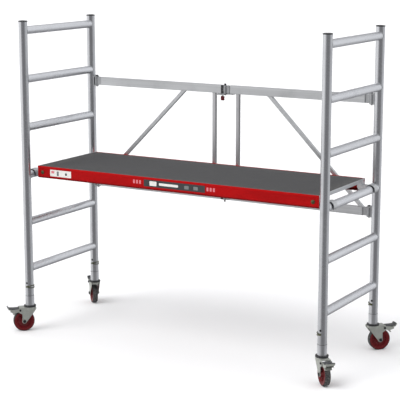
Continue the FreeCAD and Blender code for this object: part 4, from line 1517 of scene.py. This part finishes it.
# ------------------------------------------------------------------------ castors
@dataclass
class Castor:
    """One braked castor, drawn with its stem on the Z axis and its wheel trailing along +X.

    Attributes:
        side: Left or right.
        depth: Front or back.
        wheel_radius: Radius of the tyre.
        tread_half: Half of the tyre's width.
        hub_radius: Radius of the seat of the tyre.
        flange_radius: Radius of the wheel centre's flanges, which hold the tyre at its sides.
        spokes: Ribs on each face of the wheel centre.
        plate_radius: Radius of the swivel's top plate.
        plate_foot: Underside of the top plate.
        plate_top: Top of the top plate.
        collar_radius: Radius of the collar above the plate.
        pivot: Pedal pivot, as (x, z).
        tip: Tip of the pedal along X.
    """

    side: Side
    depth: Depth
    wheel_radius: float = 0.0625
    tread_half: float = 0.016
    hub_radius: float = 0.049
    flange_radius: float = 0.0584
    spokes: int = 8
    plate_radius: float = 0.035
    plate_foot: float = 0.146
    plate_top: float = 0.154
    collar_radius: float = 0.026
    pivot: Flat = (0.062, 0.131)
    tip: float = 0.137

    @property
    def word(self) -> str:
        """Start of the node names of this castor."""
        return f"{self.side.word}_{self.depth.word}"

    def joint_place(self, name: str) -> Vector:
        """Place of one of the castor's joints."""
        found = next(joint for joint in frame["joints"] if joint["name"] == f"{self.word}_{name}")
        return Vector(found["pos_m"])

    @property
    def heading(self) -> Matrix:
        """Turn of the castor about its stem."""
        return Matrix.Rotation(math.atan2(self.depth.value, self.side.value), 4, "Z")

    @property
    def own_frame(self) -> Matrix:
        """Place of the castor's own frame, on the floor below its stem."""
        stem = self.joint_place("swivel")
        return Matrix.Translation((stem.x, stem.y, 0)) @ self.heading

    @property
    def wheel_frame(self) -> Matrix:
        """Place of the wheel's own frame, with its axis along Y."""
        return Matrix.Translation(self.joint_place("wheel_spin")) @ self.heading

    def build(self) -> None:
        """Build and dress every piece of the castor."""
        roll_edges(f"{self.word}_fork", ZINC, 0.0008)
        roll_edges(f"{self.word}_fork_pins", OXIDE, 0.0005)
        roll_edges(f"{self.word}_pedal", ZINC, 0.0006)
        dress(f"{self.word}_hub", WHEEL)
        dress(f"{self.word}_tyre", TREAD)
        self.build_hub()
        self.build_tyre()
        self.build_seal()
        self.build_cover()
        self.build_washers()

    def build_hub(self) -> None:
        """Ribbed wheel centre, in place of the plain one."""
        steps = self.spokes * 24
        bore, boss, boss_high = 0.00605, 0.016, 0.022
        web, rib, rim_high, rim_inner = 0.0075, 0.0115, 0.0130, 0.0405
        half, seat, flange = self.tread_half, self.hub_radius, self.flange_radius
        radii = [(boss + 0.0035, 0.0), (0.024, 1.0), (0.029, 1.0), (0.034, 1.0), (rim_inner - 0.003, 0.0)]
        rows = []
        for i in range(steps):
            turn = TURN * i / steps
            sector = abs((turn * self.spokes / TURN) % 1.0 - 0.5) * 2
            face = [(bore, boss_high - 0.0008), (bore + 0.0008, boss_high), (boss - 0.001, boss_high),
                    (boss, boss_high - 0.001), (boss + 0.001, web + 0.004)]
            for radius, share in radii:
                arc = (1 - sector) * math.pi * radius / self.spokes
                raised = min(1.0, max(0.0, (0.0030 - arc) / 0.0015)) * (0.35 + 0.65 * share)
                face.append((radius, web + (rib - web) * raised))
            face += [(rim_inner, rim_high - 0.001), (rim_inner + 0.001, rim_high), (seat - 0.0015, rim_high),
                     (seat, half - 0.0002), (seat + 0.0008, half + 0.0002), (flange - 0.0006, half + 0.0002),
                     (flange, half - 0.0004), (flange, half - 0.0012), (seat, half - 0.0012)]
            mirrored = [(radius, -along) for radius, along in reversed(face)]
            rows.append([Vector((r * math.cos(turn), y, r * math.sin(turn))) for r, y in face + mirrored])
        skin = grid_skin(rows, True, True)
        make_piece(f"{self.word}_ribbed_centre", skin, WHEEL, f"{self.word}_wheel",
                   matrix=self.wheel_frame, stands_for=[f"{self.word}_hub"])

    def build_tyre(self) -> None:
        """Tyre with a crowned tread and rounded shoulders, held between the wheel centre's flanges."""
        half, outer, seat, flange = self.tread_half, self.wheel_radius, self.hub_radius, self.flange_radius
        right = [(seat, half - 0.0013), (flange + 0.0002, half - 0.0013), (flange + 0.0004, half - 0.0002)]
        shoulder = 0.0032
        for k in range(1, 7):
            turn = math.pi / 2 * k / 6
            right.append((outer - 0.0004 - shoulder * (1 - math.sin(turn)), half - shoulder * (1 - math.cos(turn))))
        right += [(outer - 0.0001, half - 0.008), (outer, 0.0015)]
        profile = right + [(outer - 0.0002, 0.0004)] + [(radius, -along) for radius, along in reversed(right)]
        skin = lathe(profile, 112)
        turned = Skin().add(skin, LAID_ACROSS)
        make_piece(f"{self.word}_rounded_tyre", turned, TREAD, f"{self.word}_wheel",
                   matrix=self.wheel_frame, stands_for=[f"{self.word}_tyre"])

    def build_seal(self) -> None:
        """Dark dust seal over the top plate of the swivel head."""
        rim, top = self.plate_radius + 0.0006, self.plate_top
        profile = rounded_corners([
            (self.collar_radius - 0.0005, top, 0.0), (self.plate_radius, top - 0.0002, 0.0),
            (self.plate_radius - 0.0002, self.plate_foot + 0.0004, 0.0), (rim, self.plate_foot + 0.0004, 0.0),
            (rim, top + 0.0012, 0.0012), (self.collar_radius + 0.004, top + 0.0014, 0.0010),
            (self.collar_radius - 0.0005, top + 0.0030, 0.0),
        ])
        make_piece(f"{self.word}_dust_seal", lathe(profile, 64), BLACK, f"{self.side.word}_frame",
                   matrix=self.own_frame)

    def build_cover(self) -> None:
        """Dark cover over the pedal, from its web to its tip."""
        x, z = self.pivot
        top = [(x + 0.009, z + 0.0066), (x + 0.022, z + 0.0066), (x + 0.048, z + 0.0066),
               (x + 0.064, z + 0.0078), (self.tip - 0.005, z + 0.0176), (self.tip - 0.0008, z + 0.0172)]
        halves = [0.0215, 0.0225, 0.0240, 0.0245, 0.0245, 0.0235]
        thick, bulge = 0.0028, 0.0016
        rows = []
        columns = 9
        for (px, pz), half in zip(top, halves):
            under = [Vector((px, -half + 2 * half * k / (columns - 1), pz)) for k in range(columns)]
            crown = [point + Vector((0, 0, thick + bulge * (1 - (point.y / half) ** 2))) for point in reversed(under)]
            rows.append(under + crown)
        skin = grid_skin(rows, False, True)
        width = 2 * columns
        skin.faces.append(tuple(range(width)))
        skin.faces.append(tuple(range(len(skin.points) - 1, len(skin.points) - width - 1, -1)))
        make_piece(f"{self.word}_pedal_cover", skin, PEDAL_GREY, f"{self.word}_brake",
                   roll=0.0006, matrix=self.own_frame)

    def build_washers(self) -> None:
        """A wide washer under each head and nut of the axle."""
        outer_face, thick, radius, bore = 0.027, 0.0012, 0.0125, 0.006
        wheel = self.joint_place("wheel_spin")
        skin = Skin()
        for sign in (-1, 1):
            low, high = sorted((sign * outer_face, sign * (outer_face + thick)))
            ring = lathe([(bore, low), (radius - 0.0004, low), (radius, low + 0.0004),
                          (radius, high - 0.0004), (radius - 0.0004, high), (bore, high)], 40)
            skin.add(ring, LAID_ACROSS)
        place = Matrix.Translation(wheel) @ self.heading
        make_piece(f"{self.word}_axle_washers", skin, ZINC, f"{self.word}_swivel", matrix=place)


# ------------------------------------------------------------------------- studio
@dataclass
class Studio:
    """Pale floor, soft light and the camera.

    Attributes:
        azimuth: Camera's turn about the object, in degrees.
        elevation: Camera's height above the horizon, in degrees.
        distance: Camera to target.
        target: Point that the camera looks at.
        lens: Focal length for a sensor 36 mm wide.
        floor_half: Half of the floor's side.
        dome_radius: Radius of the pale backdrop.
    """

    azimuth: float = 30.41
    elevation: float = 11.27
    distance: float = 7.674
    target: tuple[float, float, float] = (0.0184, 0.0, 0.832)
    lens: float = 120.85
    floor_half: float = 90.0
    dome_radius: float = 80.0

    def build(self) -> None:
        """Set up the studio."""
        self.build_world()
        self.build_floor()
        self.build_lights()
        self.build_camera()
        bpy.context.scene.view_settings.view_transform = "Standard"

    def back(self, azimuth: float, elevation: float) -> Vector:
        """Direction from the object to a place round it, angles in degrees."""
        a, e = math.radians(azimuth), math.radians(elevation)
        return Vector((math.sin(a) * math.cos(e), -math.cos(a) * math.cos(e), math.sin(e)))

    def build_world(self) -> None:
        """A sky that is bright above and at the sides, dim round the camera and low behind the section."""
        world = bpy.data.worlds.new("studio_sky")
        bpy.context.scene.world = world
        world.use_nodes = True
        graph = Graph(world.node_tree)
        direction = graph.place("Generated")
        front = graph.toward(direction, self.back(self.azimuth + 7.0, 0.0))
        left = graph.toward(direction, self.back(self.azimuth - 90.0, 0.0))
        rear = graph.toward(direction, self.back(self.azimuth + 174.0, 10.0))
        height = graph.axes(direction)[2]
        lit = graph.mix((0.72, 0.73, 0.75), (1.10, 1.10, 1.11), left.band(-0.3, 0.8))
        open_sky = graph.mix(lit, (0.34, 0.34, 0.35), rear.band(0.78, 0.95))
        sky = graph.mix(open_sky, (0.25, 0.25, 0.26), front.band(0.28, 0.90))
        lofty = graph.mix(sky, (1.05, 1.05, 1.07), height.band(0.50, 0.82))
        colour = graph.mix(lofty, (0.26, 0.26, 0.27), height.band(-0.16, -0.50))
        background = graph.node("ShaderNodeBackground", {}, {"Color": colour, "Strength": 1.0})
        graph.node("ShaderNodeOutputWorld", {}, {"Surface": Sock(graph, background.outputs[0])})

    def pale(self, name: str, colour: Colour, glow: float) -> bpy.types.Material:
        """Plain pale material for the floor or the backdrop.

        Args:
            name: Name of the material.
            colour: Its colour.
            glow: Strength of its own light.

        Returns:
            The material.
        """
        made = bpy.data.materials.new(name)
        made.use_nodes = True
        graph = Graph(made.node_tree)
        shader = graph.node("ShaderNodeBsdfPrincipled", {}, {
            "Base Color": colour, "Roughness": 0.9, "Specular IOR Level": 0.0,
            "Emission Color": colour, "Emission Strength": glow,
        })
        graph.node("ShaderNodeOutputMaterial", {}, {"Surface": Sock(graph, shader.outputs[0])})
        return made

    def build_floor(self) -> None:
        """A wide pale floor and a pale dome that only the camera sees."""
        half = self.floor_half
        corners = [(-half, -half, 0), (half, -half, 0), (half, half, 0), (-half, half, 0)]
        mesh = bpy.data.meshes.new("floor")
        mesh.from_pydata(corners, [], [(0, 1, 2, 3)])
        mesh.materials.append(self.pale("floor_pale", (0.93, 0.93, 0.93), 0.0))
        floor = bpy.data.objects.new("floor", mesh)
        work = bmesh.new()
        bmesh.ops.create_icosphere(work, subdivisions=4, radius=self.dome_radius)
        dome_mesh = bpy.data.meshes.new("backdrop")
        work.to_mesh(dome_mesh)
        work.free()
        dome_mesh.materials.append(self.pale("backdrop_pale", (1.0, 1.0, 1.0), 1.0))
        dome = bpy.data.objects.new("backdrop", dome_mesh)
        for item in (floor, dome):
            bpy.context.scene.collection.objects.link(item)
            item.visible_glossy = False
        dome.visible_diffuse = False
        dome.visible_shadow = False
        dome.visible_transmission = False

    def build_lights(self) -> None:
        """Two wide suns: a key from the upper left of the front, and a low fill."""
        for name, azimuth, elevation, strength, spread in (
            ("key", -25.0, 52.0, 1.35, 40.0), ("fill", 75.0, 35.0, 0.35, 60.0),
        ):
            light = bpy.data.lights.new(name, "SUN")
            light.energy = strength
            light.angle = math.radians(spread)
            lamp = bpy.data.objects.new(name, light)
            lamp.rotation_mode = "QUATERNION"
            lamp.rotation_quaternion = self.back(azimuth, elevation).to_track_quat("Z", "Y")
            lamp.visible_glossy = False
            bpy.context.scene.collection.objects.link(lamp)

    def build_camera(self) -> None:
        """The camera, at the distance and height of a person who looks at the section."""
        camera = bpy.data.cameras.new("camera")
        camera.lens = self.lens
        camera.sensor_width = 36.0
        camera.clip_end = 400.0
        holder = bpy.data.objects.new("camera", camera)
        back = self.back(self.azimuth, self.elevation)
        holder.location = Vector(self.target) + back * self.distance
        holder.rotation_mode = "QUATERNION"
        holder.rotation_quaternion = (-back).to_track_quat("-Z", "Y")
        bpy.context.scene.collection.objects.link(holder)
        bpy.context.scene.camera = holder


def main() -> None:
    """Build the section, piece by piece, and the studio round it."""
    logging.basicConfig(level=logging.INFO, format="%(name)s %(message)s")
    for side in Side:
        LadderFrame(side).build()
        GuardLeaf(side).build()
    LeafLatch().build()
    Deck().build()
    for side in Side:
        for depth in Depth:
            Castor(side, depth).build()
    Studio().build()


if __name__ == "__main__":
    main()
